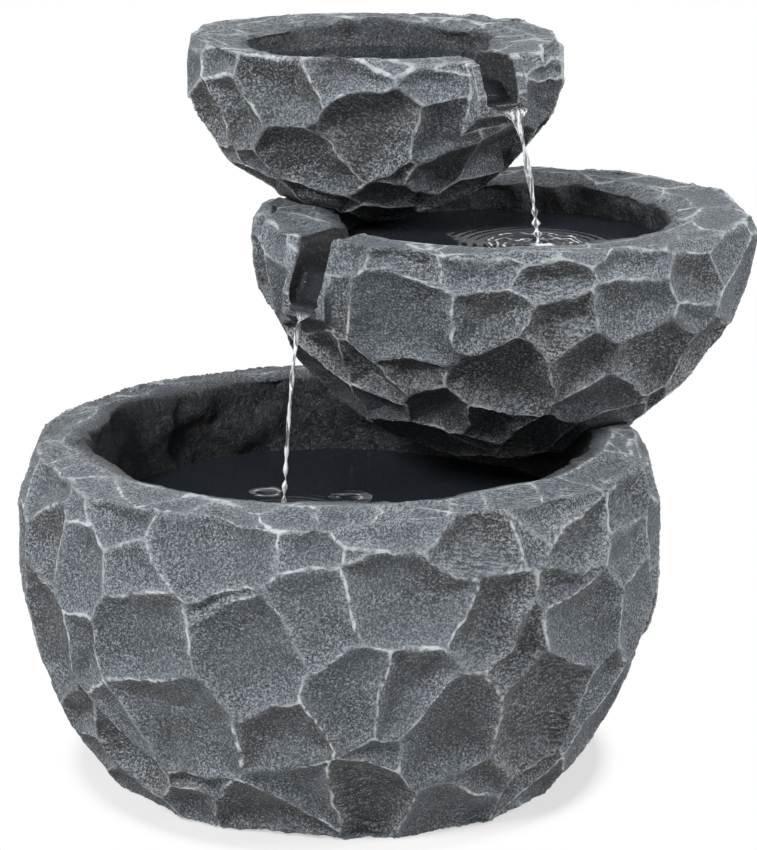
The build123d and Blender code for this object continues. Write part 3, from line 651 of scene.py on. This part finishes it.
def ridge_distance(graph, given, place, up, inside):
    """Distance to the nearest ridge: the solid's sharp edges, and the edges of chips on the rims."""
    lines = graph.shape_of(given.out("Ridges"))
    edges = graph.add("GeometryNodeProximity", {"target_element": "EDGES"}, {0: lines}, "Distance")
    chips = graph.add(
        "ShaderNodeTexVoronoi",
        {"feature": "DISTANCE_TO_EDGE"},
        {"Vector": place, "Scale": RIM_CHIPS},
        "Distance",
    )
    rim = graph.step(up, *RIM_SLOPE) * (1 - inside)
    return graph.math("MINIMUM", edges, chips / RIM_CHIPS + CHIPLESS * (1 - rim))


def facet_tint(graph, given):
    """The random tint of the nearest facet."""
    facets = graph.shape_of(given.out("Facets"))
    own_tint = graph.add("GeometryNodeInputNamedAttribute", {"data_type": "FLOAT"}, {"Name": "facet_tint"})
    return graph.add(
        "GeometryNodeSampleNearestSurface", {"data_type": "FLOAT"}, {"Mesh": facets, "Value": own_tint}
    )


def hewn_height(graph, given, place, up, ridge, tint, masks):
    """How far the stone moves along its normal: ridges stand out, the rest sinks in."""
    hewn = (1 - masks.inside) * masks.loose
    level = 1 - 0.78 * graph.step(up, *LEVEL_SLOPE)
    depth = given.out("Scoop depth") * (0.6 + 0.8 * tint) * level
    inward = graph.math("MINIMUM", ridge / given.out("Scoop width"), 1.0)
    scoop = inward * (2 - inward) * depth * hewn
    dented = graph.step(graph.noise(place, DENT_NOISE, 2.0, 0.5), 0.30, 0.72)
    dent = dented * given.out("Dent depth") * hewn * level
    grain = graph.noise(place, GRAIN_NOISE, 3.0, 0.6) * given.out("Grain height") * masks.clear
    hammered = masks.inside * graph.noise(place, HAMMER_NOISE, 1.0, 0.5) * HAMMER_DEPTH * masks.clear
    raised = given.out("Ridge height") * hewn * graph.step(up, *OVERHANG_SLOPE)
    raised = raised * (1 - 0.9 * graph.step(up, *TOP_SLOPE))
    eased = (1 - masks.clear) * SEAT_EASE
    return raised - scoop - dent - grain - hammered - eased


def edge_drift(graph, given, place, normal):
    """How far the stone moves within its surface, so that the facets' edges stray from straight."""
    grey = (0.5, 0.5, 0.5)
    drift = graph.vector("SUBTRACT", graph.noise(place, DRIFT_NOISE, 1.0, 0.5, "Color"), grey)
    shiver = graph.vector("SUBTRACT", graph.noise(place, SHIVER_NOISE, 1.0, 0.5, "Color"), grey)
    stray = graph.scaled(drift, given.out("Edge wander"))
    stray = graph.vector("ADD", stray, graph.scaled(shiver, given.out("Edge wander") * 0.22))
    return graph.vector("SUBTRACT", stray, graph.scaled(normal, graph.dot(stray, normal)))


def brim_bulge(graph, given, place, normal, up, reach, loose):
    """How far the rim's inner edge bulges towards the middle of the mouth, here and there."""
    to_centre = graph.vector("SUBTRACT", given.out("Centre"), place)
    homeward = graph.unit(graph.vector("MULTIPLY", to_centre, (1.0, 1.0, 0.0)))
    faces_home = graph.dot(homeward, normal)
    brink = graph.step(reach, *BRINK_INNER_REACH) * graph.step(reach, *BRINK_OUTER_REACH) * loose
    brink = brink * graph.step(faces_home, *BRINK_FACING) * graph.step(up, *BRINK_SLOPE)
    uneven = graph.step(graph.noise(place, SWELL_NOISE, 2.0, 0.5), 0.34, 0.66)
    return graph.scaled(homeward, uneven * brink * given.out("Brim swell"))


def hewn_tree():
    """Dishes a bowl's facets, lets their edges wander, swells its brim and stores what the paint needs.

    The stone keeps clear of its neighbours and within its node's box.
    """
    tree, graph, given = new_tree(
        "Hewn stone",
        (
            ("Ridges", "NodeSocketObject"),
            ("Facets", "NodeSocketObject"),
            ("Neighbours", "NodeSocketObject"),
            ("Centre", "NodeSocketVector"),
            ("Mouth", "NodeSocketVector"),
            ("Lowest", "NodeSocketVector"),
            ("Highest", "NodeSocketVector"),
            ("Lip", "NodeSocketVector"),
            ("Way", "NodeSocketVector"),
            ("Channel", "NodeSocketFloat"),
            ("Wet", "NodeSocketFloat"),
            ("Scoop depth", "NodeSocketFloat"),
            ("Scoop width", "NodeSocketFloat"),
            ("Ridge height", "NodeSocketFloat"),
            ("Dent depth", "NodeSocketFloat"),
            ("Edge wander", "NodeSocketFloat"),
            ("Grain height", "NodeSocketFloat"),
            ("Brim swell", "NodeSocketFloat"),
            ("Material", "NodeSocketMaterial"),
        ),
    )
    place = graph.add("GeometryNodeInputPosition")
    normal = graph.add("GeometryNodeInputNormal")
    up = graph.axis(normal, "Z")
    plan = graph.vector("DIVIDE", graph.vector("SUBTRACT", place, given.out("Centre")), given.out("Mouth"))
    reach = graph.length(plan)
    masks = stone_masks(graph, given, place, up, reach)
    ridge = ridge_distance(graph, given, place, up, masks.inside)
    tint = facet_tint(graph, given)

    geometry = graph.stored(given, "ridge_mm", ridge * MILLIMETRES)
    geometry = graph.stored(geometry, "facet_tint", tint)
    # The inside attribute holds how dark the inside is painted, for wetness and as painted shade
    geometry = graph.stored(geometry, "inside", masks.inside * masks.wet_and_shade)
    height = hewn_height(graph, given, place, up, ridge, tint, masks)
    bulge = brim_bulge(graph, given, place, normal, up, reach, masks.loose)
    drift = graph.scaled(edge_drift(graph, given, place, normal), masks.loose)
    offset = graph.vector("ADD", graph.vector("ADD", graph.scaled(normal, height), bulge), drift)
    moved = graph.add("GeometryNodeSetPosition", None, {"Geometry": geometry, "Offset": offset})
    held = graph.vector("MAXIMUM", graph.vector("MINIMUM", place, given.out("Highest")), given.out("Lowest"))
    boxed = graph.add("GeometryNodeSetPosition", None, {"Geometry": moved, "Position": held})
    # Upward facing is stored for the painted highlight and painted shade
    close_tree(graph, graph.stored(boxed, "upward", up), given.out("Material"))
    return tree


def hewn_shape(bowl):
    """Merged copy of a bowl's solid with a tint for each flat facet."""
    draw = random.Random(bowl.seed)
    shape = bmesh.new()
    shape.from_mesh(frame["nodes"][bowl.node].data)
    bmesh.ops.remove_doubles(shape, verts=shape.verts, dist=MERGE_DISTANCE)
    tint = shape.faces.layers.float.new("facet_tint")
    seen = set()
    for first in shape.faces:
        if first in seen:
            continue
        value = draw.random()
        seen.add(first)
        open_faces = [first]
        while open_faces:
            face = open_faces.pop()
            face[tint] = value
            for edge in face.edges:
                if edge.calc_face_angle(math.pi) < FLAT_ANGLE:
                    fresh = [other for other in edge.link_faces if other not in seen]
                    seen.update(fresh)
                    open_faces.extend(fresh)
    return shape


def neighbour_mesh(bowl):
    """The solids of all other nodes in one mesh."""
    joined = bmesh.new()
    for name, node in frame["nodes"].items():
        if name != bowl.node:
            joined.from_mesh(node.data)
    mesh = bpy.data.meshes.new("neighbours")
    joined.to_mesh(mesh)
    joined.free()
    return mesh


def ridge_lines(bowl, shape):
    """Mesh of a bowl's sharp edges, without those of its rounded inside."""
    wide = bowl.mouth[0] + FLARE_WIDTH
    deep = bowl.mouth[1] + FLARE_WIDTH

    def rounded(face):
        """Whether a face belongs to the bowl's round inside."""
        centre = face.calc_center_median()
        reach = math.hypot((centre.x - bowl.centre[0]) / wide, (centre.y - bowl.centre[1]) / deep)
        return reach < 1 and face.normal.z > -0.1

    points = []
    edges = []
    for edge in shape.edges:
        if edge.calc_face_angle(0.0) < RIDGE_ANGLE or all(rounded(face) for face in edge.link_faces):
            continue
        edges.append((len(points), len(points) + 1))
        points.extend(vert.co.copy() for vert in edge.verts)
    mesh = bpy.data.meshes.new("ridges")
    mesh.from_pydata(points, edges, [])
    return mesh


def hold_inside(mesh, lowest, highest):
    """Puts back the points of a mesh that thinning moved out of a box."""
    for vertex in mesh.vertices:
        vertex.co = [max(low, min(high, at)) for low, at, high in zip(lowest, vertex.co, highest)]


class FOUNTAIN_OT_bowls(bpy.types.Operator):
    """Hew the three stone bowls from their solids"""

    bl_idname = "fountain.bowls"
    bl_label = "Hew Bowls"

    def execute(self, context):
        stone = context.scene.fountain.stone
        material = slate_material(stone)
        tree = hewn_tree()
        for bowl in (LOWER, MIDDLE, TOP):
            shape = hewn_shape(bowl)
            solid = bpy.data.meshes.new("solid")
            shape.to_mesh(solid)
            helpers = {
                "Ridges": bpy.data.objects.new("ridges", ridge_lines(bowl, shape)),
                "Facets": bpy.data.objects.new("facets", solid.copy()),
                "Neighbours": bpy.data.objects.new("neighbours", neighbour_mesh(bowl)),
            }
            shape.free()
            lowest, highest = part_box(bowl.node)
            values = {
                **helpers,
                "Centre": (*bowl.centre, 0.0),
                "Mouth": (*bowl.mouth, ANY_HEIGHT),
                "Lowest": lowest,
                "Highest": highest,
                "Lip": bowl.lip,
                "Way": bowl.way,
                "Channel": bowl.channel,
                "Wet": bowl.wet_and_shade,
                "Scoop depth": stone.scoop_depth,
                "Scoop width": stone.scoop_width,
                "Ridge height": stone.ridge_height,
                "Dent depth": stone.dent_depth,
                "Edge wander": stone.edge_wander,
                "Grain height": stone.grain_height,
                "Brim swell": stone.brim_swell,
                "Material": material,
            }
            mesh = apply_tree(solid, tree, values, bowl.voxel)
            hold_inside(mesh, lowest, highest)
            for helper in helpers.values():
                bpy.data.objects.remove(helper)
            piece = new_piece(bowl.node + "_stone", mesh, bowl.body)
            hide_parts(bowl.node)
        return {"FINISHED"}


def pool_material(name, pool, water):
    """Dark, part-opaque water as painted shade, with painted glints on broken pale rings and froth where
    drops land.
    """
    material, graph = new_material(name)
    place = graph.place()
    flat = graph.vector("MULTIPLY", place, (1.0, 1.0, 0.0))
    warp = graph.noise(place, 60.0, 2.0, 0.5)
    broken = graph.noise(graph.vector("MULTIPLY", place, (45.0, 120.0, 45.0)), 1.0, 3.0, 0.65)
    foam_and_glint = 0.0
    # Painted glints on ripple crests round a splashing landing, faint painted rings round other drops, froth
    # on the landing spot
    for x, y, radius, splash in pool.rings:
        away = graph.vector("DISTANCE", flat, (x, y, 0.0)).out("Value") * (1 / radius) + 0.7 * (warp - 0.5)
        wave = graph.math("SINE", away * (math.tau * radius / water.ripple_length))
        crest = graph.step(wave, 0.35, 0.9) * graph.step(away, 0.30, 0.55) * graph.step(away, 1.08, 0.92)
        crest = crest * (0.5 + 0.5 * splash) + 0.22 * (1 - splash) * graph.step(away, 1.1, 0.9)
        spot = graph.step(away, 0.22, 0.08) * splash
        foam_and_glint = graph.math("MAXIMUM", foam_and_glint, graph.math("MAXIMUM", crest, spot))
    foam_and_glint = foam_and_glint * graph.step(broken, 0.38, 0.60) * 0.95
    # Away from glints and froth the pools are dark and part opaque, as painted shade
    colour = graph.mix(foam_and_glint, opaque(water.deep), opaque(water.foam_and_glint))
    sockets = {
        "Base Color": colour,
        "Roughness": 0.06 + 0.3 * foam_and_glint,
        "Alpha": pool.shade_cover + (1 - pool.shade_cover) * foam_and_glint,
        "IOR": 1.12,
    }
    shade(graph, sockets, graph.noise(place, 120.0, 2.0, 0.5), 0.12, 0.0006)
    return material


# Metres from a landing between which its ripples rise to their full height
RIPPLE_FADE = (0.075, 0.006)


def pool_tree():
    """Round sheet of water, drawn from its own polar grid, with ring waves round a landing."""
    tree, graph, given = new_tree(
        "Pool",
        (
            ("Centre", "NodeSocketVector"),
            ("Reach", "NodeSocketVector"),
            ("Landing", "NodeSocketVector"),
            ("Ripple height", "NodeSocketFloat"),
            ("Ripple length", "NodeSocketFloat"),
            ("Material", "NodeSocketMaterial"),
        ),
    )
    sheet = graph.add(
        "GeometryNodeMeshGrid", None, {"Size X": 1.0, "Size Y": 1.0, "Vertices X": 60, "Vertices Y": 161}
    )
    grid = graph.axis(graph.add("GeometryNodeInputPosition"), "X")
    radius = grid + 0.5
    turn = (grid.out("Y") + 0.5) * math.tau
    round_place = graph.add(
        "ShaderNodeCombineXYZ",
        None,
        {0: radius * graph.math("COSINE", turn), 1: radius * graph.math("SINE", turn)},
    )
    spread = graph.vector("MULTIPLY", round_place, given.out("Reach"))
    place = graph.vector("ADD", spread, given.out("Centre"))
    away = graph.vector("DISTANCE", place, given.out("Landing")).out("Value")
    wave = graph.math("SINE", away * math.tau / given.out("Ripple length"))
    swell = wave * given.out("Ripple height") * graph.step(away, *RIPPLE_FADE)
    lifted = graph.vector("ADD", place, graph.add("ShaderNodeCombineXYZ", None, {2: swell}))
    laid = graph.add("GeometryNodeSetPosition", None, {"Geometry": sheet, "Position": lifted})
    closed = graph.add("GeometryNodeMergeByDistance", None, {"Geometry": laid, "Distance": MERGE_DISTANCE})
    close_tree(graph, closed, given.out("Material"))
    return tree


class FOUNTAIN_OT_pools(bpy.types.Operator):
    """Fill the three bowls with water"""

    bl_idname = "fountain.pools"
    bl_label = "Fill Pools"

    def execute(self, context):
        water = context.scene.fountain.water
        tree = pool_tree()
        for pool in POOLS:
            name = pool.bowl.body + "_pool"
            x, y = pool.rings[0][:2] if pool.rings else pool.bowl.centre
            values = {
                "Centre": (*pool.bowl.centre, pool.level),
                "Reach": (*pool.reach, 0.0),
                "Landing": (x, y, pool.level),
                "Ripple height": water.ripple_height if pool.rings else 0.0,
                "Ripple length": water.ripple_length,
                "Material": pool_material(name, pool, water),
            }
            mesh = apply_tree(bpy.data.meshes.new("seed"), tree, values)
            new_piece(name, mesh, pool.bowl.body)
        return {"FINISHED"}


def stream_material(water):
    """Running water: dark and clear in the spout, with bright streaks of white water and painted glints where
    it falls.
    """
    material, graph = new_material("running_water")
    place = graph.place()
    fall = graph.attribute("fall")
    streak = graph.noise(graph.vector("MULTIPLY", place, (620.0, 620.0, 70.0)), 1.0, 2.0, 0.6)
    # Bright streaks where the water falls: white water and painted glints
    bright = graph.step(streak, 0.40, 0.54) * graph.step(fall, 0.0, 0.05)
    colour = graph.mix(bright, opaque(water.deep), opaque(water.foam_and_glint))
    sockets = {
        "Base Color": colour,
        "Roughness": 0.05 + 0.12 * bright,
        "Alpha": 0.42 + 0.55 * bright,
        "IOR": 1.33,
    }
    shade(graph, sockets, streak, 0.3, 0.0008)
    return material


# Phase that a stream's beads reach at its landing, in radians
BEADS = 46.0
# A falling stream's path: its steps, and the share of the drop that it would make at its first speed
FALL_STEPS = 10
FIRST_SPEED = 0.35


def stream_tree():
    """Water lofted along a path: a flat film as far as the lip, then a twisted, beaded jet."""
    tree, graph, given = new_tree(
        "Running water",
        (
            ("Across", "NodeSocketVector"),
            ("Lip", "NodeSocketFloat"),
            ("Turns", "NodeSocketFloat"),
            ("Film width", "NodeSocketFloat"),
            ("Film depth", "NodeSocketFloat"),
            ("Jet width", "NodeSocketFloat"),
            ("Jet depth", "NodeSocketFloat"),
            ("Material", "NodeSocketMaterial"),
        ),
    )
    path = graph.add("GeometryNodeMeshToCurve", None, {"Mesh": given})
    path = graph.add("GeometryNodeCurveSplineType", {"spline_type": "CATMULL_ROM"}, {"Curve": path})
    path = graph.add("GeometryNodeSetSplineResolution", None, {"Geometry": path, "Resolution": 8})
    skin = graph.add(
        "GeometryNodeMeshGrid", None, {"Size X": 1.0, "Size Y": 1.0, "Vertices X": 260, "Vertices Y": 17}
    )
    grid = graph.axis(graph.add("GeometryNodeInputPosition"), "X")
    along = grid + 0.5
    around = (grid.out("Y") + 0.5) * math.tau
    point = graph.add(
        "GeometryNodeSampleCurve", {"mode": "FACTOR"}, {"Curves": path, "Factor": along}, "Position"
    )
    side = given.out("Across")
    rise = graph.unit(graph.vector("CROSS_PRODUCT", point.out("Tangent"), side))
    fall = graph.math("MAXIMUM", (along - given.out("Lip")) / (1 - given.out("Lip")), 0.0)
    film = graph.step(fall, 0.12, 0.0)
    pulse = graph.math("SINE", fall * fall * BEADS)
    bead = 1 + pulse * 0.55 * graph.step(fall, 0.55, 0.85)
    jet_width = given.out("Jet width") * (1.15 - 0.5 * fall) * bead
    jet_depth = given.out("Jet depth") * (1 + 0.6 * fall) * bead
    ends = graph.step(along, 0.0, 0.04) * (0.25 + 0.75 * graph.step(fall, 1.0, 0.985))
    wide = (jet_width + (given.out("Film width") - jet_width) * film) * ends
    thin = (jet_depth + (given.out("Film depth") - jet_depth) * film) * ends
    swirl = fall * given.out("Turns") * math.tau
    first = graph.math("COSINE", around) * wide
    second = graph.math("SINE", around) * thin
    turned = graph.math("COSINE", swirl)
    leaned = graph.math("SINE", swirl)
    sideways = graph.scaled(side, first * turned - second * leaned)
    upwards = graph.scaled(rise, first * leaned + second * turned)
    place = graph.vector("ADD", point, graph.vector("ADD", sideways, upwards))
    kept = graph.stored(skin, "fall", fall)
    laid = graph.add("GeometryNodeSetPosition", None, {"Geometry": kept, "Position": place})
    closed = graph.add("GeometryNodeMergeByDistance", None, {"Geometry": laid, "Distance": MERGE_DISTANCE})
    close_tree(graph, closed, given.out("Material"))
    return tree


def stream_path(course):
    """Mesh of the points that a course of water follows, and the fraction of it before the lip."""
    lip = Vector(course.bowl.lip)
    way = Vector(course.bowl.way)
    points = [lip + along * way + Vector((0.0, 0.0, up)) for along, up in course.bed]
    before = len(points)
    start = Vector(course.leap)
    drop = Vector(course.landing) - start
    for number in range(FALL_STEPS + 1):
        time = number / FALL_STEPS
        fallen = FIRST_SPEED * time + (1 - FIRST_SPEED) * time * time
        points.append(start + Vector((drop.x * time, drop.y * time, drop.z * fallen)))
    lengths = [(second - first).length for first, second in zip(points, points[1:])]
    mesh = bpy.data.meshes.new("path")
    mesh.from_pydata(points, [(number, number + 1) for number in range(len(points) - 1)], [])
    return mesh, sum(lengths[:before]) / sum(lengths)


class FOUNTAIN_OT_streams(bpy.types.Operator):
    """Run the two streams from spout to pool"""

    bl_idname = "fountain.streams"
    bl_label = "Run Streams"

    def execute(self, context):
        water = context.scene.fountain.water
        material = stream_material(water)
        tree = stream_tree()
        for course in COURSES:
            path, lip = stream_path(course)
            values = {
                "Across": (-course.bowl.way[1], course.bowl.way[0], 0.0),
                "Lip": lip,
                "Turns": course.turns,
                "Film width": course.bowl.channel - water.film_gap,
                "Film depth": water.film_depth,
                "Jet width": course.jet,
                "Jet depth": water.jet_depth,
                "Material": material,
            }
            mesh = apply_tree(path, tree, values)
            mesh.name = course.name
            piece = bpy.data.objects.new(course.name, mesh)
            context.scene.collection.objects.link(piece)
            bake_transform(piece)
        return {"FINISHED"}


def moulded_material(name, colour, roughness, metallic=0.0, grain=900.0, relief=0.0002):
    """Moulded, sintered or drawn finish: a fine grain with slight changes of colour and gloss."""
    material, graph = new_material(name)
    place = graph.place()
    fine = graph.noise(place, grain, 2.0, 0.6)
    broad = graph.noise(place, 60.0, 3.0, 0.6)
    paler = tuple(min(1.0, 1.7 * part + 0.01) for part in colour)
    shift = graph.step(0.6 * fine + 0.6 * broad, 0.45, 0.85)
    tone = graph.mix(shift, opaque(colour), opaque(paler))
    gloss = roughness + 0.2 * (broad - 0.5)
    shade(graph, {"Base Color": tone, "Roughness": gloss, "Metallic": metallic}, fine, 0.4, relief)
    return material


class FOUNTAIN_OT_pump(bpy.types.Operator):
    """Finish the pump, the riser hose and the inlet fitting"""

    bl_idname = "fountain.pump"
    bl_label = "Finish Pump and Hose"

    def execute(self, context):
        pump = context.scene.fountain.pump
        finishes = {
            "pump_plastic": moulded_material("pump_plastic", pump.plastic, 0.45),
            "strainer_plastic": moulded_material("strainer_plastic", pump.strainer, 0.5),
            "dial_plastic": moulded_material("dial_plastic", pump.dial, 0.42),
            "impeller_plastic": moulded_material("impeller_plastic", pump.impeller, 0.4),
            "rubber": moulded_material("rubber", pump.rubber, 0.75, grain=1400.0),
            "hose_vinyl": moulded_material("hose_vinyl", pump.hose, 0.35, grain=300.0),
            "clip_steel": moulded_material("clip_steel", pump.steel, 0.28, 1.0, 1600.0, 0.00005),
            "shaft_ceramic": moulded_material("shaft_ceramic", pump.ceramic, 0.2, 0.0, 2000.0, 0.00003),
            "magnet_ferrite": moulded_material("magnet_ferrite", pump.ferrite, 0.55, grain=1800.0),
        }
        for subpart in frame["record"]["subparts"]:
            if subpart["material_slot"] in finishes:
                node = frame["nodes"][subpart["node"]]
                node.data.materials.clear()
                node.data.materials.append(finishes[subpart["material_slot"]])
        return {"FINISHED"}


def light_path(graph):
    """1 for rays from the camera and for mirror and glass rays, else 0."""
    path = graph.add("ShaderNodeLightPath", output="Is Camera Ray")
    seen = graph.math("MAXIMUM", path, path.out("Is Glossy Ray"))
    return graph.math("MAXIMUM", seen, path.out("Is Transmission Ray"))


# The floor's radius, how far from its middle its shadow starts and ends fading, and its least share of white
FLOOR_RADIUS = 6.0
SHADOW_FADE = (0.150, 0.186)
LEAST_WHITE = 0.55


def floor_material(stage):
    """Pale matt floor that turns into the white background away from the object."""
    material, graph = new_material("pale_floor")
    place = graph.place()
    away = graph.length(place)
    matt = graph.add("ShaderNodeBsdfDiffuse", None, {"Color": opaque(stage.floor)})
    white = graph.add("ShaderNodeEmission", None, {"Strength": 1.0})
    share = graph.math("MAXIMUM", graph.step(away, *SHADOW_FADE), LEAST_WHITE) * light_path(graph)
    surface = graph.add("ShaderNodeMixShader", None, {0: share, 1: matt, 2: white})
    graph.add("ShaderNodeOutputMaterial", None, {"Surface": surface}, "Surface")
    return material


def add_lamp(name, power, size, place, target):
    """Large soft lamp aimed at a point."""
    data = bpy.data.lights.new(name, "AREA")
    data.energy = power
    data.shape = "DISK"
    data.size = size
    lamp = bpy.data.objects.new(name, data)
    lamp.location = place
    lamp.rotation_euler = (Vector(target) - Vector(place)).to_track_quat("-Z", "Y").to_euler()
    bpy.context.scene.collection.objects.link(lamp)


def add_floor(stage):
    """Round pale floor under the fountain."""
    mesh = bpy.data.meshes.new("floor")
    shape = bmesh.new()
    bmesh.ops.create_circle(shape, cap_ends=True, segments=96, radius=FLOOR_RADIUS)
    shape.to_mesh(mesh)
    shape.free()
    mesh.materials.append(floor_material(stage))
    floor = bpy.data.objects.new("floor", mesh)
    bpy.context.scene.collection.objects.link(floor)


def add_sky(stage):
    """Even light from all round, white where it is seen."""
    world = bpy.data.worlds.new("studio")
    world.use_nodes = True
    world.node_tree.nodes.clear()
    graph = Graph(world.node_tree)
    seen = light_path(graph)
    strength = seen + (1 - seen) * stage.sky
    sky = graph.add("ShaderNodeBackground", None, {"Color": (1, 1, 1, 1), "Strength": strength})
    graph.add("ShaderNodeOutputWorld", None, {"Surface": sky}, "Surface")
    bpy.context.scene.world = world


def add_camera(stage):
    """Camera at the photograph's viewing angle."""
    data = bpy.data.cameras.new("camera")
    data.lens = stage.lens
    camera = bpy.data.objects.new("camera", data)
    camera.location = (stage.offset, -stage.distance, stage.height)
    camera.rotation_euler = (stage.tilt, 0.0, 0.0)
    bpy.context.scene.collection.objects.link(camera)
    bpy.context.scene.camera = camera


class FOUNTAIN_OT_stage(bpy.types.Operator):
    """Set up the floor, the light and the camera"""

    bl_idname = "fountain.stage"
    bl_label = "Set Stage"

    def execute(self, context):
        stage = context.scene.fountain.stage
        context.scene.view_settings.view_transform = "Standard"
        add_floor(stage)
        add_sky(stage)
        middle = (0.03, 0.04, 0.22)
        add_lamp("key", stage.key, 0.8, (-1.3, -1.5, 1.8), middle)
        add_lamp("fill", stage.fill, 1.2, (2.1, -0.5, 1.5), middle)
        add_lamp("overhead", stage.top, 1.2, (0.1, 0.5, 2.2), middle)
        add_camera(stage)
        return {"FINISHED"}


class FOUNTAIN_PT_panel(bpy.types.Panel):
    """Fountain tools in the sidebar"""

    bl_label = "Fountain"
    bl_idname = "FOUNTAIN_PT_panel"
    bl_space_type = "VIEW_3D"
    bl_region_type = "UI"
    bl_category = "Fountain"

    def draw(self, context):
        settings = context.scene.fountain
        for group in (settings.stone, settings.water, settings.pump, settings.stage):
            box = self.layout.box()
            box.label(text=group.bl_rna.description)
            for name in group.bl_rna.properties.keys():
                if name not in ("rna_type", "name"):
                    box.prop(group, name)
        for operator in OPERATORS:
            self.layout.operator(operator.bl_idname)


OPERATORS = (FOUNTAIN_OT_stage, FOUNTAIN_OT_bowls, FOUNTAIN_OT_pools, FOUNTAIN_OT_streams, FOUNTAIN_OT_pump)
GROUPS = (StoneSettings, WaterSettings, PumpSettings, StageSettings, FountainSettings)
CLASSES = (*GROUPS, *OPERATORS, FOUNTAIN_PT_panel)


def register():
    for entry in CLASSES:
        bpy.utils.register_class(entry)
    bpy.types.Scene.fountain = PointerProperty(type=FountainSettings)


def unregister():
    del bpy.types.Scene.fountain
    for entry in reversed(CLASSES):
        bpy.utils.unregister_class(entry)


def main():
    register()
    bpy.ops.fountain.stage()
    bpy.ops.fountain.bowls()
    bpy.ops.fountain.pools()
    bpy.ops.fountain.streams()
    bpy.ops.fountain.pump()


if __name__ == "__main__":
    main()
